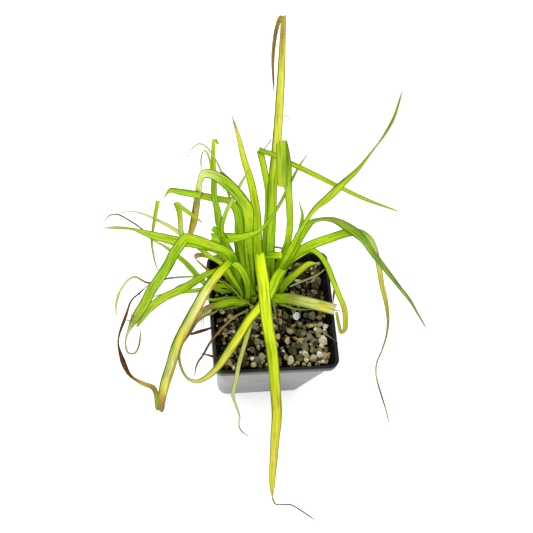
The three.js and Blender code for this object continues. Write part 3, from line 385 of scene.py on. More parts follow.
        Leaf("-25 27.5 104, -27 32 115, -34 33 121, -42 33.5 124, -49 35.5 124, -53.5 36.5 121.5, "
             "-54 36 117.5, -50 34 112, -44 31 105", "0 1.8, 0.4 2.8, 0.66 3, 0.8 3.8, 1 3.4",
             "0 deep, 0.2 green, 0.35 tan, 0.5 ochre, 0.7 tan, 1 ochre"),
        # A dark curled fibre.
        Leaf("-67 21 102, -59 22 106, -55 20 106", "0 0.5, 0.5 0.9, 1 0.6", "0 tan, 0.4 dark, 1 dark",
             start=(-78, 15, 97)),
    )),
    "dry_straw": Shoot((-18, 2), 1, "dead_leaf", (
        # Lies over the left rim.
        Leaf("-19.5 1 98.5, -28 -4 101.5, -38 -13 103.5, -47 -23 104.5, -52 -30 99, -56 -34 91, "
             "-58 -41 81", "0 1.2, 0.6 1.5, 1 0.9",
             "0 tan, 0.3 straw, 0.45 tan, 0.65 brown, 0.8 dark, 1 straw"),
    )),
}

# Dry bits that lie on the grit and over the rim, with the straw.
LITTER = (
    Leaf("23 22 98.4, 34 26 98.8, 38 29 98.4", "0 0.9, 0.5 1.5, 1 0.9", "0 cream, 0.6 straw, 1 cream",
         start=(15, 19, 97.6)),
    Leaf("33 24 99, 25 18 97.8", "0 1, 1 0.7", "0 straw, 1 tan", start=(42, 31, 99)),
    Leaf("33 -29 98.2, 37 -31 97.8", "0 0.9, 1 0.7", "0 tan, 1 brown", start=(30, -27, 98)),
    Leaf("40 -21 98.6, 46 -27 100.9", "0 0.8, 1 0.7", "0 straw, 1 tan", start=(35, -16, 97.8)),
    Leaf("16 -23 98.3, 20 -26 97.9", "0 0.9, 1 0.8", "0 brown, 1 dark", start=(13, -20, 97.8)),
    Leaf("46 9 101, 45 3 100.8", "0 1.2, 0.5 2, 1 0.9", "0 tan, 1 brown", start=(47, 14, 100.9)),
    Leaf("49 -2.5 101, 52 -3 100.4", "0 0.9, 1 0.7", "0 straw, 1 tan", start=(42, -1, 100.8)),
    Leaf("-48 -12 101, -53 -13 100, -60 -14 97", "0 1, 0.6 2.4, 1 1.4", "0 dark, 1 dark",
         start=(-43, -10, 100.8)),
    Leaf("-48 -31.5 101, -54 -29 98.5", "0 1.6, 1 1.2", "0 dark, 1 dark", start=(-42, -34, 100.8)),
)

# How dry each leaf colour is, where it isn't fresh: dry stretches are rough and freckled.
DRYNESS = {"olive": 0.25, "cream": 0.3, "ochre": 0.6, "straw": 0.8, "tan": 0.9, "brown": 1, "dark": 1}


# ---- what a user may change ----

def linear(code):
    """The linear colour of a hex code."""
    shade = Color([int(code[i:i + 2], 16) / 255 for i in (0, 2, 4)])
    return tuple(shade.from_srgb_to_scene_linear())


def colour(name, description, code):
    """A colour property, with a hex code as its default."""
    return FloatVectorProperty(name=name, description=description, default=linear(code), subtype="COLOR",
                               size=3, min=0, max=1)


def length(name, description, millimetres):
    """A length property, with millimetres as its default."""
    return FloatProperty(name=name, description=description, default=millimetres * MM, unit="LENGTH",
                         subtype="DISTANCE", precision=5)


def share(name, description, value):
    """A property between 0 and 1."""
    return FloatProperty(name=name, description=description, default=value, subtype="FACTOR", min=0, max=1)


def spot(name, description, place):
    """A property for a place in the studio, in metres."""
    return FloatVectorProperty(name=name, description=description, default=place, unit="LENGTH",
                               subtype="TRANSLATION", size=3)


class PotSettings(bpy.types.PropertyGroup):
    """The moulded pot."""

    base_width: length("Base width", "Across the pot's underside", 66)
    wall: length("Wall", "Thickness of the wall", 1.2)
    floor: length("Floor", "Thickness of the floor", 2)
    corner: length("Corner radius", "Radius of the wall's upright corners", 6.6)
    band_height: length("Band height", "Height of the stiffening band under the rim", 8)
    band_proud: length("Band step", "How far the band stands out of the wall", 1)
    channel_outer: length("Channel outside", "Half width of the channel under the floor", 24)
    channel_inner: length("Channel inside", "Half width of the pad inside the channel", 11)
    channel_depth: length("Channel depth", "Depth of the channel under the floor", 0.9)
    drain: length("Drain hole radius", "Radius of the eight drain holes", 2.6)
    edge: length("Edge radius", "Rounding of the moulded edges", 0.35)
    plastic: colour("Plastic", "The pot's black plastic", "0b0c0e")
    # Painted sheen: the lighter grey of the wall below the band, a painted reflection of the pale floor.
    bloom: colour("Bloom", "The thin grey film on the outside of the wall", "1e2022")


class GritSettings(bpy.types.PropertyGroup):
    """The fines and the stones that cover the soil."""

    bed: length("Fines height", "Height of the fines between the stones, above the ground", 89.5)
    top: length("Highest stone", "No stone stands above this", 97.2)
    smallest: length("Smallest stone", "Half length of the smallest stones", 1.6)
    largest: length("Largest stone", "Half length of the largest stones", 4.4)
    flatness: share("Flatness", "Height of a stone, of its length", 0.66)
    dip: length("Dip", "How much lower the grit lies along the back and the left wall", 4)
    count: IntProperty(name="Stones", description="How many stones are dropped", default=900, min=1)
    seed: IntProperty(name="Seed", description="Start of the random draw", default=11)
    # The fines' near black is dark soil, and partly painted shade in the gaps between the stones.
    fines: colour("Fines", "The dark fines between the stones", "080502")
    soil: colour("Soil", "The potting soil", "2a2118")


class LeafSettings(bpy.types.PropertyGroup):
    """The shape of every leaf."""

    thickness: length("Thickness", "Thickness of a leaf", 0.34)
    step: length("Step", "Longest stretch between two cross sections", 1.7)
    ease: length("Ease", "The stretch over which a turned leaf faces the light again", 24)
    tip: length("Tip", "The stretch over which a leaf runs out to its point", 9)
    ripple: length("Ripple", "How far the margins wave", 0.25)
    keel: share("Keel", "How far the margins stand above the midrib, of the width", 0.17)
    # Painted light: near the crown the leaves are painted paler, for light let through the leaves around
    # them.
    crown: length("Crown", "How far the crown's young growth reaches", 85)
    youth: share("Youth", "How much paler the young growth of the crown is", 0.45)


class LeafColours(bpy.types.PropertyGroup):
    """The colours that a leaf passes through from its throat to its tip."""

    deep: colour("Deep green", "Leaf bases in the shade of the crown", "6a9a04")
    green: colour("Green", "Fresh leaf, away from the light", "8cba04")
    lime: colour("Lime", "Fresh leaf", "a0c606")
    bright: colour("Bright lime", "Young leaf", "afcd0a")
    acid: colour("Acid lime", "Yellowing young leaf", "c8dc06")
    lemon: colour("Lemon", "Leaf on the turn", "dcda24")
    yellow: colour("Yellow", "Yellowed leaf", "e4d84e")
    pale: colour("Pale", "Bleached green", "d6d888")
    cream: colour("Cream", "Bleached tips", "e2dec0")
    olive: colour("Olive", "Dull green on its way to brown", "8f9440")
    ochre: colour("Ochre", "The edge of a dry stretch", "c2a24e")
    straw: colour("Straw", "Dry thread", "b3a27c")
    tan: colour("Tan", "Dry leaf", "9a7a4e")
    brown: colour("Brown", "Dead leaf", "764822")
    dark: colour("Dark brown", "Rotten leaf", "522c18")


class StudioSettings(bpy.types.PropertyGroup):
    """The floor, the lights and the camera."""

    eye: spot("Eye", "Where the camera stands", (-0.1226, -0.2599, 0.852))
    aim: spot("Aim", "What the camera looks at", (-0.0012, 0.0346, 0.1))
    roll: FloatProperty(name="Roll", description="How far the camera leans to its left", unit="ROTATION",
                        subtype="ANGLE", default=math.radians(18.7))
    lens: FloatProperty(name="Lens", description="Focal length on a 36 mm sensor", unit="CAMERA",
                        default=75.17)
    floor_width: length("Floor", "Width of the floor", 9000)
    floor: colour("Floor colour", "The pale floor", "fbfbfa")
    floor_glow: FloatProperty(name="Floor glow", description="Own light of the floor", default=0.4)
    sky: FloatProperty(name="Sky", description="Strength of the even light from all round", default=0.92)
    key: FloatProperty(name="Key", description="Power of the large soft light", unit="POWER", default=14)
    key_from: spot("Key from", "Where the large light hangs", (-0.9, 0.35, 1.7))
    key_width: length("Key width", "Width of the large soft light", 1100)


class SedgeSettings(bpy.types.PropertyGroup):
    """All that the sedge's operators read."""

    pot: PointerProperty(type=PotSettings)
    grit: PointerProperty(type=GritSettings)
    leaf: PointerProperty(type=LeafSettings)
    colours: PointerProperty(type=LeafColours)
    studio: PointerProperty(type=StudioSettings)


# ---- shader sums ----

class Wire:
    """A shader socket. An expression on wires and numbers adds its Math nodes."""

    def __init__(self, paint, socket):
        self.paint = paint
        self.socket = socket

    def sum(self, operation, first, second=0):
        return self.paint.node("ShaderNodeMath", {"operation": operation}, {0: first, 1: second})

    def __add__(self, other):
        return self.sum("ADD", self, other)

    def __sub__(self, other):
        return self.sum("SUBTRACT", self, other)

    def __rsub__(self, other):
        return self.sum("SUBTRACT", other, self)

    def __mul__(self, other):
        return self.sum("MULTIPLY", self, other)

    def __abs__(self):
        return self.sum("ABSOLUTE", self)

    __radd__ = __add__
    __rmul__ = __mul__

    def sine(self):
        return self.sum("SINE", self)

    def rise(self, low, high):
        """0 below low and 1 above high, with a smooth step between; high may be the lower one."""
        return self.paint.node("ShaderNodeMapRange", {"interpolation_type": "SMOOTHSTEP"},
                               {"Value": self, "From Min": low, "From Max": high})

    def also(self, name):
        """Another output of the same node."""
        return Wire(self.paint, self.socket.node.outputs[name])


class Paint:
    """A material. Its nodes come from one method, and its surface is one Principled shader."""

    def __init__(self, name, inputs):
        self.material = bpy.data.materials.new(name)
        self.material.use_nodes = True
        self.tree = self.material.node_tree
        self.shader = self.tree.nodes["Principled BSDF"]
        self.feed(inputs)

    def feed(self, inputs, node=None):
        """Sets sockets of a node, or of the surface, to values or links them to wires."""
        for name, value in inputs.items():
            socket = (node or self.shader).inputs[name]
            if isinstance(value, Wire):
                self.tree.links.new(value.socket, socket)
            elif socket.type == "RGBA" and len(value) == 3:
                socket.default_value = (*value, 1)
            else:
                socket.default_value = value

    def node(self, kind, settings=None, inputs=None, output=0):
        """A new node: its settings, then the values or wires of its sockets. Gives one output."""
        node = self.tree.nodes.new(kind)
        for name, value in (settings or {}).items():
            if name == "stops":
                self.stops(node.color_ramp, value)
            else:
                setattr(node, name, value)
        self.feed(inputs or {}, node)
        return Wire(self, node.outputs[output])

    def stops(self, ramp, values):
        """Gives a colour ramp its stops, each a place and a colour."""
        for place, _ in values[2:]:
            ramp.elements.new(place)
        for element, (place, shade) in zip(ramp.elements, values):
            element.position = place
            element.color = (*shade, 1)

    def mix(self, factor, first, second, blend="MIX"):
        """Two colours, mixed by a factor."""
        settings = {"data_type": "RGBA", "blend_type": blend}
        return self.node("ShaderNodeMix", settings, {0: factor, 6: first, 7: second}, output=2)

    def place(self):
        """The place of each point of the piece."""
        return self.node("ShaderNodeTexCoord", output="Object")

    def attribute(self, name, output="Fac"):
        """What the mesh says at each vertex under a name."""
        return self.node("ShaderNodeAttribute", {"attribute_name": name}, output=output)

    def noise(self, place, scale, detail=2, rough=0.5):
        """Noise between 0 and 1 at a place."""
        return self.node("ShaderNodeTexNoise", inputs={
            "Vector": place, "Scale": scale, "Detail": detail, "Roughness": rough})

    def bump(self, height, distance, strength=1):
        """Lets a height in metres times distance catch the light."""
        return self.node("ShaderNodeBump", inputs={
            "Height": height, "Distance": distance, "Strength": strength})


def leaf_paint(name, under=False):
    """A leaf's face: its own colour with streaks, veins, a pale midrib and dark margins. The
    underside is duller, and its veins stand out more."""
    paint = Paint(name, {"Specular IOR Level": 0.12})
    flat = paint.node("ShaderNodeUVMap", {"uv_map": "leaf"})
    side = paint.node("ShaderNodeSeparateXYZ", inputs={0: flat})
    run = side.also("Y")
    place = paint.place()
    own = paint.attribute("shade", "Color")
    dry = paint.attribute("dry")
    off = abs(side - 0.5) * 2

    def streaks(wide, long):
        drawn = paint.node("ShaderNodeCombineXYZ", inputs={0: side * wide, 1: run * long})
        return paint.noise(drawn, 1)

    broad = streaks(3.2, 0.28)
    fine = streaks(11, 0.7)
    veins = (side * 94).sine() * 0.5 + 0.5
    midrib = off.rise(0.14, 0.01)
    margin = (off + fine * 0.08).rise(0.8, 0.96)
    fresh = 1 - dry

    # One half of the leaf gets more pale streaks: painted light on the side of the keel facing the light.
    half = side.rise(0.42, 0.58) * 0.7 + 0.3
    base = paint.mix(broad.rise(0.46, 0.62) * half * fresh * 0.42, own, linear("cfe02a"))
    base = paint.mix(broad.rise(0.52, 0.34) * 0.6, base, linear("a8b43a"), "MULTIPLY")
    base = paint.mix(fine.rise(0.52, 0.68) * (fresh * 0.22 + 0.08), base, linear("dae64c"))
    base = paint.mix(fine.rise(0.49, 0.34) * 0.6, base, linear("a4b03a"), "MULTIPLY")
    base = paint.mix(veins * 0.2, base, linear("bec47a"), "MULTIPLY")
    base = paint.mix(midrib * (fresh * 0.2 + 0.06), base, linear("dfe870"))
    base = paint.mix(margin * 0.85 * fresh, base, linear("62820a"), "MULTIPLY")
    mottle = paint.noise(place, 420, 3, 0.65)
    base = paint.mix(mottle.rise(0.45, 0.2) * 0.5, base, linear("ccc880"), "MULTIPLY")
    freckle = paint.noise(place, 900, 2, 0.6)
    spots = freckle.rise(0.56, 0.66) * (dry * 0.75 + 0.02)
    base = paint.mix(spots, base, linear("4a2f16"))
    if under:
        base = paint.mix(fresh * 0.22, base, linear("a2b23c"))

    ridge = veins * 0.5 + midrib * (1.6 if under else -1.2) + fine * 0.8 + freckle * dry
    paint.feed({
        "Base Color": base,
        "Roughness": dry * 0.25 + fine * 0.16 + (0.5 if under else 0.36),
        "Normal": paint.bump(ridge, 0.00007),
    })
    return paint.material


# The heights above the ground between which the pot's painted sheen ends.
SHEEN_END = 94.5 * MM, 91.5 * MM


def plastic_paint(look):
    """Black moulded plastic, faintly pebbled and dusty; below its band, painted sheen and a glossy coat."""
    paint = Paint("pot_shell", {"Specular IOR Level": 0.28, "Coat IOR": 1.45, "Coat Roughness": 0.32})
    place = paint.place()
    dust = paint.noise(place, 38, 4, 0.6)
    cloud = paint.noise(place, 14, 3, 0.55)
    pebble = paint.noise(place, 2600, 1)
    height = paint.node("ShaderNodeSeparateXYZ", inputs={0: place}).also("Z")
    # Below the band the wall is painted lighter, as painted sheen; the glossy coat follows the same mask.
    bloom = height.rise(*SHEEN_END) * (cloud * 0.16 + 0.86)
    base = paint.mix(bloom, tuple(look.plastic), tuple(look.bloom))
    base = paint.mix(dust.rise(0.5, 0.75) * 0.1, base, linear("8a857a"))
    paint.feed({
        "Base Color": base,
        "Roughness": cloud.rise(0.3, 0.7) * 0.12 + dust.rise(0.4, 0.8) * 0.14 + 0.3,
        "Coat Weight": bloom * 0.7,
        "Normal": paint.bump(pebble + cloud * 9, 0.00003),
    })
    return paint.material


def soil_paint(name, shade):
    """Crumbs of peat: dark, with paler specks."""
    paint = Paint(name, {"Specular IOR Level": 0.05})
    place = paint.place()
    crumb = paint.noise(place, 650, 5, 0.7)
    speck = paint.noise(place, 1500, 1)
    base = paint.mix(crumb.rise(0.35, 0.65), linear("0d0b08"), shade)
    base = paint.mix(speck.rise(0.66, 0.72) * 0.6, base, linear("7a6a4a"))
    paint.feed({"Base Color": base, "Roughness": 0.95, "Normal": paint.bump(crumb, 0.0012)})
    return paint.material


def stone_paint():
    """Grit: each stone has its own tone, with specks, dust and a rough break."""
    paint = Paint("grit_stone", {"Specular IOR Level": 0.12})
    place = paint.place()
    tone = paint.attribute("tone")
    own = paint.node("ShaderNodeValToRGB", {"stops": (
        (0.0, linear("0b0a06")), (0.14, linear("352b18")), (0.25, linear("655a34")),
        (0.35, linear("4a503a")), (0.46, linear("948c5e")), (0.56, linear("6d745c")),
        (0.66, linear("c6ad70")), (0.76, linear("8f927a")), (0.85, linear("d8c694")),
        (0.93, linear("ebdfba")), (0.97, linear("f0ebda")), (1.0, linear("ffffff")),
    )}, {0: tone})
    cloud = paint.noise(place, 330, 3, 0.6)
    speck = paint.noise(place, 1900, 2, 0.7)
    base = paint.mix(cloud.rise(0.5, 0.25) * 0.55, own, linear("84806a"), "MULTIPLY")
    base = paint.mix(cloud.rise(0.5, 0.75) * 0.22, base, linear("d9cdab"))
    base = paint.mix(speck.rise(0.45, 0.3) * 0.5, base, linear("56503f"), "MULTIPLY")
    paint.feed({
        "Base Color": base,
        "Roughness": cloud * 0.3 + 0.6,
        "Normal": paint.bump(speck + cloud, 0.0002),
    })
    return paint.material


# ---- modelling ----

def chosen(piece):
    """Deselects everything else and makes the piece active."""
    bpy.ops.object.select_all(action="DESELECT")
    piece.select_set(True)
    bpy.context.view_layer.objects.active = piece


@contextmanager
def shaping(piece, kind):
    """Edit mode on one piece, picking vertices, edges or faces, with nothing picked at first."""
    chosen(piece)
    bpy.ops.object.mode_set(mode="EDIT")
    bpy.ops.mesh.select_mode(type=kind)
    bpy.ops.mesh.select_all(action="DESELECT")
    yield
    bpy.ops.object.mode_set(mode="OBJECT")


def pick(piece, kind, test):
    """Selects the edges or faces that the test holds for, and nothing else."""
    bpy.ops.mesh.select_all(action="DESELECT")
    shape = bmesh.from_edit_mesh(piece.data)
    shape.normal_update()
    for part in getattr(shape, kind):
        if test(part):
            part.select_set(True)
    bmesh.update_edit_mesh(piece.data)


def lift(height, widen=1.0):
    """Extrudes what is picked straight up, and widens it about its middle."""
    bpy.ops.mesh.extrude_region_move(TRANSFORM_OT_translate={"value": (0, 0, height)})
    bpy.ops.transform.resize(value=(widen, widen, 1))


def added(name, operator, **settings):
    """A new primitive, named, with its place in its mesh."""
    bpy.ops.object.select_all(action="DESELECT")
    operator(**settings)
    piece = bpy.context.object
    piece.name = piece.data.name = name
    bpy.ops.object.transform_apply(location=True, rotation=True, scale=True)
    return piece


def modify(piece, kind, **settings):
    """Adds a modifier and applies it."""
    chosen(piece)
    bpy.ops.object.modifier_add(type=kind)
    modifier = piece.modifiers[-1]
    for name, value in settings.items():
        setattr(modifier, name, value)
    bpy.ops.object.modifier_apply(modifier=modifier.name)


def joined(name, pieces):
    """Several pieces as one."""
    chosen(pieces[0])
    for piece in pieces:
        piece.select_set(True)
    bpy.ops.object.join()
    pieces[0].name = pieces[0].data.name = name
    return pieces[0]


def dressed(piece, *materials):
    """Gives a piece these materials and no others."""
    piece.data.materials.clear()
    for material in materials:
        piece.data.materials.append(material)


def upright(edge, height):
    """Whether an edge climbs more than a height."""
    return abs(edge.verts[0].co.z - edge.verts[1].co.z) > height


def finished(piece, slot, *nodes, crease=35):
    """Shades a piece, and lets it stand for its solids."""
    if not piece.data.polygons:
        raise RuntimeError(f"{piece.name} has no faces")
    chosen(piece)
    bpy.ops.object.shade_smooth_by_angle(angle=math.radians(crease))
    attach(piece, "root")
    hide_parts(*nodes)
    return piece


def pot_piece(look):
    """The pot: a tapered box with round corners, a band, an open top and a channelled floor."""
    low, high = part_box("pot")
    width, height = high.x - low.x, high.z - low.z
    wall_top = width - 2 * look.band_proud
    band_low = height - look.band_height
    shoulder = look.band_proud * 0.6

    def wide_at(z):
        return look.base_width + (wall_top - look.base_width) * z / height

    pot = added("square_pot", bpy.ops.mesh.primitive_cube_add, size=1,
                location=(0, 0, band_low / 2), scale=(look.base_width, look.base_width, band_low))
    with shaping(pot, "FACE"):
        pick(pot, "faces", lambda face: face.normal.z > 0.9)
        widen = wide_at(band_low) / look.base_width
        bpy.ops.transform.resize(value=(widen, widen, 1))
    with shaping(pot, "EDGE"):
        pick(pot, "edges", lambda edge: upright(edge, band_low / 2))
        bpy.ops.mesh.bevel(offset=look.corner, segments=8, affect="EDGES")
    with shaping(pot, "FACE"):
        pick(pot, "faces", lambda face: face.normal.z > 0.9)
        lift(shoulder, width / wide_at(band_low))
        lift(look.band_height - shoulder)
        bpy.ops.mesh.inset(thickness=look.wall + look.band_proud)
        inner = wall_top - 2 * look.wall
        lift(look.floor - height, (wide_at(look.floor) - 2 * look.wall) / inner)
        pick(pot, "faces", lambda face: face.normal.z < -0.9 and face.calc_center_median().z < MM)
        lift(0, 2 * look.channel_outer / look.base_width)
        lift(look.channel_depth)
        lift(0, look.channel_inner / look.channel_outer)
        lift(-look.channel_depth)

    middle = (look.channel_outer + look.channel_inner) / 2
    places = [(x, y, 0) for x in (-middle, 0, middle) for y in (-middle, 0, middle) if x or y]
    drains = joined("drains", [
        added("drain", bpy.ops.mesh.primitive_cylinder_add, vertices=24, radius=look.drain,
              depth=4 * look.floor, location=place) for place in places])
    modify(pot, "BOOLEAN", operation="DIFFERENCE", object=drains, solver="EXACT")
    bpy.data.objects.remove(drains)
    modify(pot, "BEVEL", width=look.edge, segments=2, limit_method="ANGLE", angle_limit=math.radians(40))
    dressed(pot, plastic_paint(look))
    return finished(pot, "pot_plastic", "pot")


# ---- grit ----

# How many pebbles the stones are copied from, how many faces are broken off each, and how far from its
# middle these lie.
PEBBLES = 9
BREAKS = 8
BREAK_DEPTH = 0.34, 0.72

# How much rarer large stones are than small ones, and how often each is let go, to keep its lowest
# place.
RARITY = 1.3
TRIES = 7

# How high the lowest stones lie over the fines, of their half height, and how close two stones nestle,
# of their half lengths.
SEAT = 0.7
NESTLE = 0.76

# How far a stone tips over at most, in radians, and how much taller it is than the place it takes up,
# so that the stones touch.
TILT = 0.5
TALLER = 0.12

# The gap between the grit and the wall.
WALL_GAP = 0.3 * MM


def base_stones(look):
    """The broken pebbles, a unit in half length."""
    draw = random.Random(look.seed)
    stones = []
    for number in range(PEBBLES):
        stone = added(f"pebble_{number}", bpy.ops.mesh.primitive_ico_sphere_add, subdivisions=2, radius=1)
        with shaping(stone, "FACE"):
            bpy.ops.mesh.select_all(action="SELECT")
            bpy.ops.transform.vertex_random(offset=0.1, seed=number)
            for _ in range(BREAKS):
                facing = Vector([draw.uniform(-1, 1) for _ in range(3)]).normalized()
                bpy.ops.mesh.select_all(action="SELECT")
                bpy.ops.mesh.bisect(plane_co=facing * draw.uniform(*BREAK_DEPTH), plane_no=facing,
                                    use_fill=True, clear_outer=True)
            bpy.ops.mesh.select_all(action="SELECT")
            bpy.ops.transform.resize(value=(1, draw.uniform(0.66, 0.95), draw.uniform(0.85, 1)))
        stones.append(stone)
    return stones


def settled(look, half):
    """Where the stones come to rest, dropped one by one: place and half length of each."""
    draw = random.Random(look.seed)
    stems = [(shoot.root[0] * MM, shoot.root[1] * MM, shoot.sheath * MM) for shoot in SHOOTS.values()]
    cell = 2 * look.largest
    placed = {}
    resting = []
    for _ in range(look.count):
        radius = look.smallest + (look.largest - look.smallest) * draw.random() ** RARITY
        best = None
        for _ in range(TRIES):
            x, y = (draw.uniform(radius - half, half - radius) for _ in range(2))
            if any(math.hypot(x - at_x, y - at_y) < sheath + radius for at_x, at_y, sheath in stems):
                continue
            column, row = int(x // cell), int(y // cell)
            z = look.bed + radius * look.flatness * SEAT
            for key in ((column + i, row + j) for i in (-1, 0, 1) for j in (-1, 0, 1)):
                for other, size in placed.get(key, ()):
                    apart = (radius + size) * NESTLE
                    gap = math.hypot(x - other.x, y - other.y)
                    if gap < apart:
                        z = max(z, other.z + math.sqrt(apart ** 2 - gap ** 2) * look.flatness)
            if best is None or z < best[0].z:
                best = (Vector((x, y, z)), radius)
        if not best:
            continue
        place = best[0]
        # The stones lie lower towards a wall, and lowest along the back and the left.
        wall = min(half + place.x, half - place.y, half - place.x + look.dip, half + place.y + look.dip)
        ceiling = look.top - look.dip * max(0, 1 - wall / (3 * look.dip))
        if place.z + best[1] * look.flatness < ceiling:
            placed.setdefault((int(place.x // cell), int(place.y // cell)), []).append(best)
            resting.append(best)
    return resting


def grit_piece(look):
    """The grit: fines painted near black (partly painted shade), and stones that have come to rest on them.
    """
    low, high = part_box("grit_topping")
    half = high.x - WALL_GAP
    draw = random.Random(look.seed + 1)
    bases = base_stones(look)
    stones = []
    for place, radius in settled(look, half):
        stone = draw.choice(bases).copy()
        stone.data = stone.data.copy()
        bpy.context.collection.objects.link(stone)
        tilt = Quaternion((draw.uniform(-1, 1), draw.uniform(-1, 1), 0), draw.uniform(0, TILT))
        turn = Quaternion((0, 0, 1), draw.uniform(0, math.tau))
        flat = Matrix.Diagonal((1, 1, look.flatness + TALLER, 1))
        stone.data.transform(
            Matrix.Translation(place) @ (tilt @ turn).to_matrix().to_4x4() @ flat @ Matrix.Scale(radius, 4))
        # Stones darken towards the back left corner: painted shade of the walls there, and damp.
        shade_and_damp = (half - place.x + place.y) / (4 * half)
        tone = draw.random() ** (0.95 + 2.2 * shade_and_damp)
        values = stone.data.attributes.new("tone", "FLOAT", "POINT").data
        values.foreach_set("value", [tone] * len(values))
        stones.append(stone)
    stones = joined("stones", stones)
    for base in bases:
        bpy.data.objects.remove(base)
    dressed(stones, stone_paint())

    fines = added("fines", bpy.ops.mesh.primitive_cube_add, size=1,
                  location=(0, 0, (low.z + look.bed) / 2), scale=(2 * half, 2 * half, look.bed - low.z))
    with shaping(fines, "EDGE"):
        pick(fines, "edges", lambda edge: upright(edge, MM))
        bpy.ops.mesh.bevel(offset=5 * MM, segments=4, affect="EDGES")
    # Near-black fines: dark soil, and painted shade in the gaps between the stones.
    dressed(fines, soil_paint("grit_fines", tuple(look.fines)))
    return finished(joined("grit", [stones, fines]), "grit", "grit_topping", crease=16)


# ---- leaves ----

# Where the leaves turn their faces, and the middle of the crown.
LIGHT = Vector((-0.15, -0.36, 0.92)).normalized()
CROWN = Vector((-0.01, 0.03, 0.155))

# Where a leaf's cross section has its points, from one margin to the other.
COLUMNS = (-1, -0.84, -0.52, -0.2, 0, 0.2, 0.52, 0.84, 1)

# How far along a leaf lies the point that it heads for as it starts.
HEADING = 45 * MM

# A leaf with an end narrower than this, in millimetres, runs out to a point. The point keeps a little
# of its width to the very end, and is drawn fuller than a straight wedge.
POINTED = 1.35
POINT_END = 0.06
POINT_FULLNESS = 0.7

# The share of a leaf at its foot over which it folds up more sharply, and how much more.
FOLD_REACH = 0.12
FOLD = 8

# How many times the margins' ripple changes over a metre.
RIPPLES = 70

# How many columns and rows of faces a sheath has, and how many turns it is rolled.
SHEATH_FACES = 28, 8
SHEATH_TURNS = 1.12


def along(stops, place):
    """The value at a share of the length, from stops of a share and a number or vector each."""
    for (low, first), (high, second) in zip(stops, stops[1:]):
        if place <= high:
            part = max(0, (place - low) / (high - low))
            return first + (second - first) * part
    return stops[-1][1]


def smooth_line(route, step):
    """Points along the centripetal Catmull-Rom line through a route."""
    ends = [2 * route[0] - route[1], *route, 2 * route[-1] - route[-2]]
    points = []
    for before, first, second, after in zip(ends, ends[1:], ends[2:], ends[3:]):
        near = (first - before).length ** 0.5
        here = (second - first).length ** 0.5
        far = (after - second).length ** 0.5
        leave = (first - before) / near - (second - before) / (near + here) + (second - first) / here
        arrive = (second - first) / here - (after - first) / (here + far) + (after - second) / far
        count = max(1, math.ceil((second - first).length / step))
        points += geometry.interpolate_bezier(
            first, first + leave * here / 3, second - arrive * here / 3, second, count + 1)[:-1]
    return [*points, route[-1]]


def facing_across(points, tangents, ease):
    """The direction across the leaf at each point. It starts square to the way the leaf heads. A
    sharp turn carries it over unturned, as a folded strip does, and a long stretch turns the leaf
    back flat to the light. The greater part of the leaf has its face to the light."""
    heading = next((p for p in points if (p - points[0]).length > HEADING), points[-1]) - points[0]
    across = [heading.cross(LIGHT)]
    faced = 0
    for before, point, tangent in zip([points[0], *points], points, tangents):
        span = (point - before).length
        flat = tangent.cross(LIGHT)
        turned = min(1, span / ease) * flat.length
        carried = (across[-1] - tangent * across[-1].dot(tangent)).normalized()
        flat = flat.normalized() * (1 if flat.dot(carried) > 0 else -1)
        side = carried.lerp(flat, turned)
        across.append((side - tangent * side.dot(tangent)).normalized())
        faced += span * across[-1].cross(tangent).dot(LIGHT)
    return [-side if faced < 0 else side for side in across[1:]]


def toned(name, colours):
    """A named leaf colour, and how dry it is."""
    return Vector((*getattr(colours, name), DRYNESS.get(name, 0)))


def strip(name, columns, rows, laid):
    """A strip of leaf tissue, laid out from a flat grid. For a vertex at a share across and a share
    along, laid gives its place, its tone with its dryness, and its place on the flat strip."""
    piece = added(name, bpy.ops.mesh.primitive_grid_add, x_subdivisions=columns, y_subdivisions=rows,
                  size=1)
    mesh = piece.data
    places, tones, dryness, flat = [], [], [], []
    for vertex in mesh.vertices:
        place, tone, spread = laid(vertex.co.x + 0.5, vertex.co.y + 0.5)
        places.extend(place)
        tones.extend((*tone[:3], 1))
        dryness.append(tone[3])
        flat.append(spread)
    mesh.vertices.foreach_set("co", places)
    mesh.color_attributes.new("shade", "FLOAT_COLOR", "POINT").data.foreach_set("color", tones)
    mesh.attributes.new("dry", "FLOAT", "POINT").data.foreach_set("value", dryness)
    mesh.uv_layers[0].name = "leaf"
    corners = [value for loop in mesh.loops for value in flat[loop.vertex_index]]
    mesh.uv_layers[0].data.foreach_set("uv", corners)
    mesh.update()
    return piece


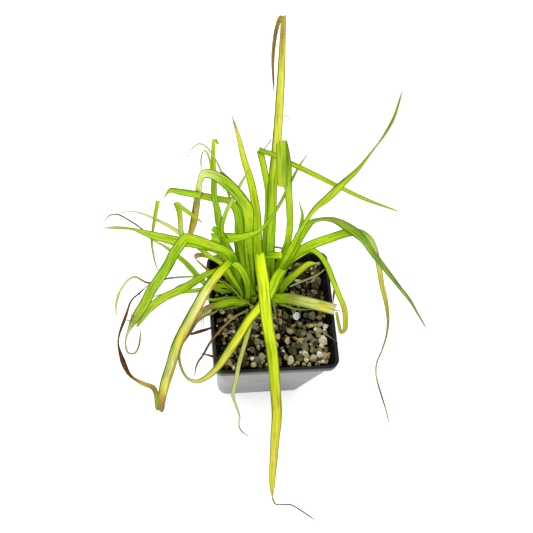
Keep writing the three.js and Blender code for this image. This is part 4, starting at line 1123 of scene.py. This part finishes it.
def laid_leaf(leaf, root, number, look, colours):
    """One leaf: a strip laid along its route, keeled, rippled and pointed."""
    foot = [Vector(leaf.start)] if leaf.start else [Vector((*root, FOOT)), Vector((*root, THROAT))]
    points = smooth_line([p * MM for p in (*foot, *map(Vector, leaf.route))], look.step)
    steps = [b - a for a, b in zip(points, points[1:])]
    tangents = [(a.normalized() + b.normalized()).normalized()
                for a, b in zip([steps[0], *steps], [*steps, steps[-1]])]
    reach = list(accumulate([0, *(step.length for step in steps)]))
    whole = reach[-1]
    across = facing_across(points, tangents, look.ease)
    pointed = leaf.width[-1][1] < POINTED
    shades = [(place, toned(name, colours)) for place, name in leaf.shade]

    def laid(share_across, share_along):
        side = COLUMNS[round(share_across * (len(COLUMNS) - 1))]
        row = round(share_along * len(steps))
        part = reach[row] / whole

        # The width is eased round its stops.
        wide = sum(along(leaf.width, part + nudge) for nudge in (-0.02, 0, 0.02)) / 3 * MM
        if pointed:
            wide *= min(1, POINT_END + (whole - reach[row]) / look.tip) ** POINT_FULLNESS

        # The margins stand above the midrib, and wave.
        wave = noise.noise(Vector((reach[row] * RIPPLES, side * 0.6 + number * 7.3, 0)))
        keel = look.keel * (1 + max(0, FOLD_REACH - part) * FOLD)
        rise = wide * keel * abs(side) ** 1.2 + look.ripple * wave * side * side * min(1, wide / (5 * MM))
        up = across[row].cross(tangents[row])

        # Near the crown the leaves are painted paler, as painted light; the margins may have shades of
        # their own.
        tone = along(shades, part)
        inner = min(1, 1.5 - (points[row] - CROWN).length * 1.5 / look.crown)
        tone.xyz *= 1 + look.youth * max(0, inner)
        if leaf.edges:
            left, right, begin, end = leaf.edges
            shown = min(1, max(0, abs(side) * 5 - 3.1), max(0, min(part - begin, end - part) * 16))
            tone = tone.lerp(toned(right if side > 0 else left, colours), shown)
        return (points[row] + across[row] * (side * wide / 2) + up * rise, tone,
                (0.5 + side / 2, reach[row] * 100 + number * 5.7))

    return strip("blade", len(COLUMNS) - 1, len(steps), laid)


def sheath_roll(root, radius, number, colours):
    """The sheath at a shoot's foot: a strip rolled a little more than once round, dull and dry below."""
    low, high = FOOT * MM, SHEATH_TOP * MM
    foot, top = Vector(colours.olive), Vector(colours.green)

    def laid(turn, climb):
        angle = (turn * SHEATH_TURNS + number * 0.37) * math.tau
        wide = radius * MM * (1 - 0.2 * climb) * (0.94 + 0.07 * turn)
        height = low + (high - low) * climb * (1 - 0.12 * math.cos(turn * math.tau))
        place = (root[0] * MM + wide * math.cos(angle), root[1] * MM + wide * math.sin(angle), height)
        return place, (*foot.lerp(top, climb), 0.5 * (1 - climb)), (turn, height * 100 + number)

    return strip("sheath", *SHEATH_FACES, laid)


def shoot_piece(name, settings):
    """A shoot: its sheath and leaves as one piece, their faces in the finish of the shoot's slot."""
    shoot = SHOOTS[name]
    first = 10 * list(SHOOTS).index(name)
    leaves = shoot.leaves + (LITTER if name == "dry_straw" else ())
    blades = [laid_leaf(leaf, shoot.root, first + index, settings.leaf, settings.colours)
              for index, leaf in enumerate(leaves)]
    blades.append(sheath_roll(shoot.root, shoot.sheath, first, settings.colours))
    piece = joined(f"{name}_leaves", blades)
    finishes = [(f"{shoot.slot}_face", False), (f"{shoot.slot}_back", True)]
    dressed(piece, *(bpy.data.materials.get(finish) or leaf_paint(finish, under)
                     for finish, under in finishes))
    modify(piece, "SOLIDIFY", thickness=settings.leaf.thickness, offset=0, material_offset=1)
    return finished(piece, shoot.slot, name, crease=50)


# ---- the studio ----

# How far below the pot the floor lies.
FLOOR_GAP = 0.2 * MM


def sight(start, aim):
    """The turn of a lamp or a camera that looks from one place at another."""
    return (Vector(aim) - Vector(start)).to_track_quat("-Z", "Y")


def studio(look):
    """A pale floor, even light with one large soft lamp, and the camera."""
    scene = bpy.context.scene
    floor = added("floor", bpy.ops.mesh.primitive_plane_add, size=look.floor_width,
                  location=(0, 0, CAD_BOX[0].z - FLOOR_GAP))
    floor.data.materials.append(Paint("pale_floor", {
        "Base Color": tuple(look.floor), "Roughness": 0.9, "Specular IOR Level": 0.1,
        "Emission Color": tuple(look.floor), "Emission Strength": look.floor_glow,
    }).material)

    world = bpy.data.worlds.new("studio")
    world.use_nodes = True
    sky = world.node_tree.nodes["Background"].inputs
    sky["Color"].default_value = (1, 1, 1, 1)
    sky["Strength"].default_value = look.sky
    scene.world = world
    scene.view_settings.view_transform = "Standard"

    bpy.ops.object.light_add(type="AREA", location=look.key_from,
                             rotation=sight(look.key_from, look.aim).to_euler())
    lamp = bpy.context.object.data
    lamp.energy = look.key
    lamp.size = look.key_width

    turn = sight(look.eye, look.aim) @ Quaternion((0, 0, 1), look.roll)
    bpy.ops.object.camera_add(location=look.eye, rotation=turn.to_euler())
    camera = bpy.context.object
    camera.data.lens = look.lens
    camera.data.sensor_width = 36
    camera.data.clip_start = 0.01
    scene.camera = camera


# ---- operators, panel and registration ----

class SEDGE_OT_pot(bpy.types.Operator):
    """Model the square pot with its band, channelled floor and drain holes"""

    bl_idname = "sedge.pot"
    bl_label = "Pot"

    def execute(self, context):
        pot_piece(context.scene.sedge.pot)
        return {"FINISHED"}


class SEDGE_OT_soil(bpy.types.Operator):
    """Give the potting soil its crumbs"""

    bl_idname = "sedge.soil"
    bl_label = "Potting Soil"

    def execute(self, context):
        paint = soil_paint("potting_soil", tuple(context.scene.sedge.grit.soil))
        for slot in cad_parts["potting_soil"].material_slots:
            slot.material = paint
        return {"FINISHED"}


class SEDGE_OT_grit(bpy.types.Operator):
    """Spread the fines and drop the stones on them"""

    bl_idname = "sedge.grit"
    bl_label = "Grit"

    def execute(self, context):
        grit_piece(context.scene.sedge.grit)
        return {"FINISHED"}


class SEDGE_OT_shoot(bpy.types.Operator):
    """Grow one shoot: its sheath and its leaves"""

    bl_idname = "sedge.shoot"
    bl_label = "Shoot"

    shoot: StringProperty(name="Shoot", description="The shoot's name", default="front_leaf")

    def execute(self, context):
        shoot_piece(self.shoot, context.scene.sedge)
        return {"FINISHED"}


class SEDGE_OT_studio(bpy.types.Operator):
    """Set the pale floor, the soft lights and the camera"""

    bl_idname = "sedge.studio"
    bl_label = "Studio"

    def execute(self, context):
        studio(context.scene.sedge.studio)
        return {"FINISHED"}


class SEDGE_PT_panel(bpy.types.Panel):
    """Every piece of the potted sedge, and its settings"""

    bl_label = "Potted Sedge"
    bl_idname = "SEDGE_PT_panel"
    bl_space_type = "VIEW_3D"
    bl_region_type = "UI"
    bl_category = "Sedge"

    def draw(self, context):
        layout = self.layout
        for operator in (SEDGE_OT_pot, SEDGE_OT_soil, SEDGE_OT_grit):
            layout.operator(operator.bl_idname)
        for name in SHOOTS:
            layout.operator("sedge.shoot", text=name.replace("_", " ").capitalize()).shoot = name
        layout.operator("sedge.studio")
        for group in (getattr(context.scene.sedge, name) for name in SedgeSettings.__annotations__):
            box = layout.box()
            for name in type(group).__annotations__:
                box.prop(group, name)


CLASSES = (PotSettings, GritSettings, LeafSettings, LeafColours, StudioSettings, SedgeSettings,
           SEDGE_OT_pot, SEDGE_OT_soil, SEDGE_OT_grit, SEDGE_OT_shoot, SEDGE_OT_studio, SEDGE_PT_panel)


def register():
    for cls in CLASSES:
        bpy.utils.register_class(cls)
    bpy.types.Scene.sedge = PointerProperty(type=SedgeSettings)


def unregister():
    del bpy.types.Scene.sedge
    for cls in reversed(CLASSES):
        bpy.utils.unregister_class(cls)


def main():
    register()
    bpy.ops.sedge.studio()
    bpy.ops.sedge.pot()
    bpy.ops.sedge.soil()
    bpy.ops.sedge.grit()
    for name in SHOOTS:
        bpy.ops.sedge.shoot(shoot=name)


if __name__ == "__main__":
    main()
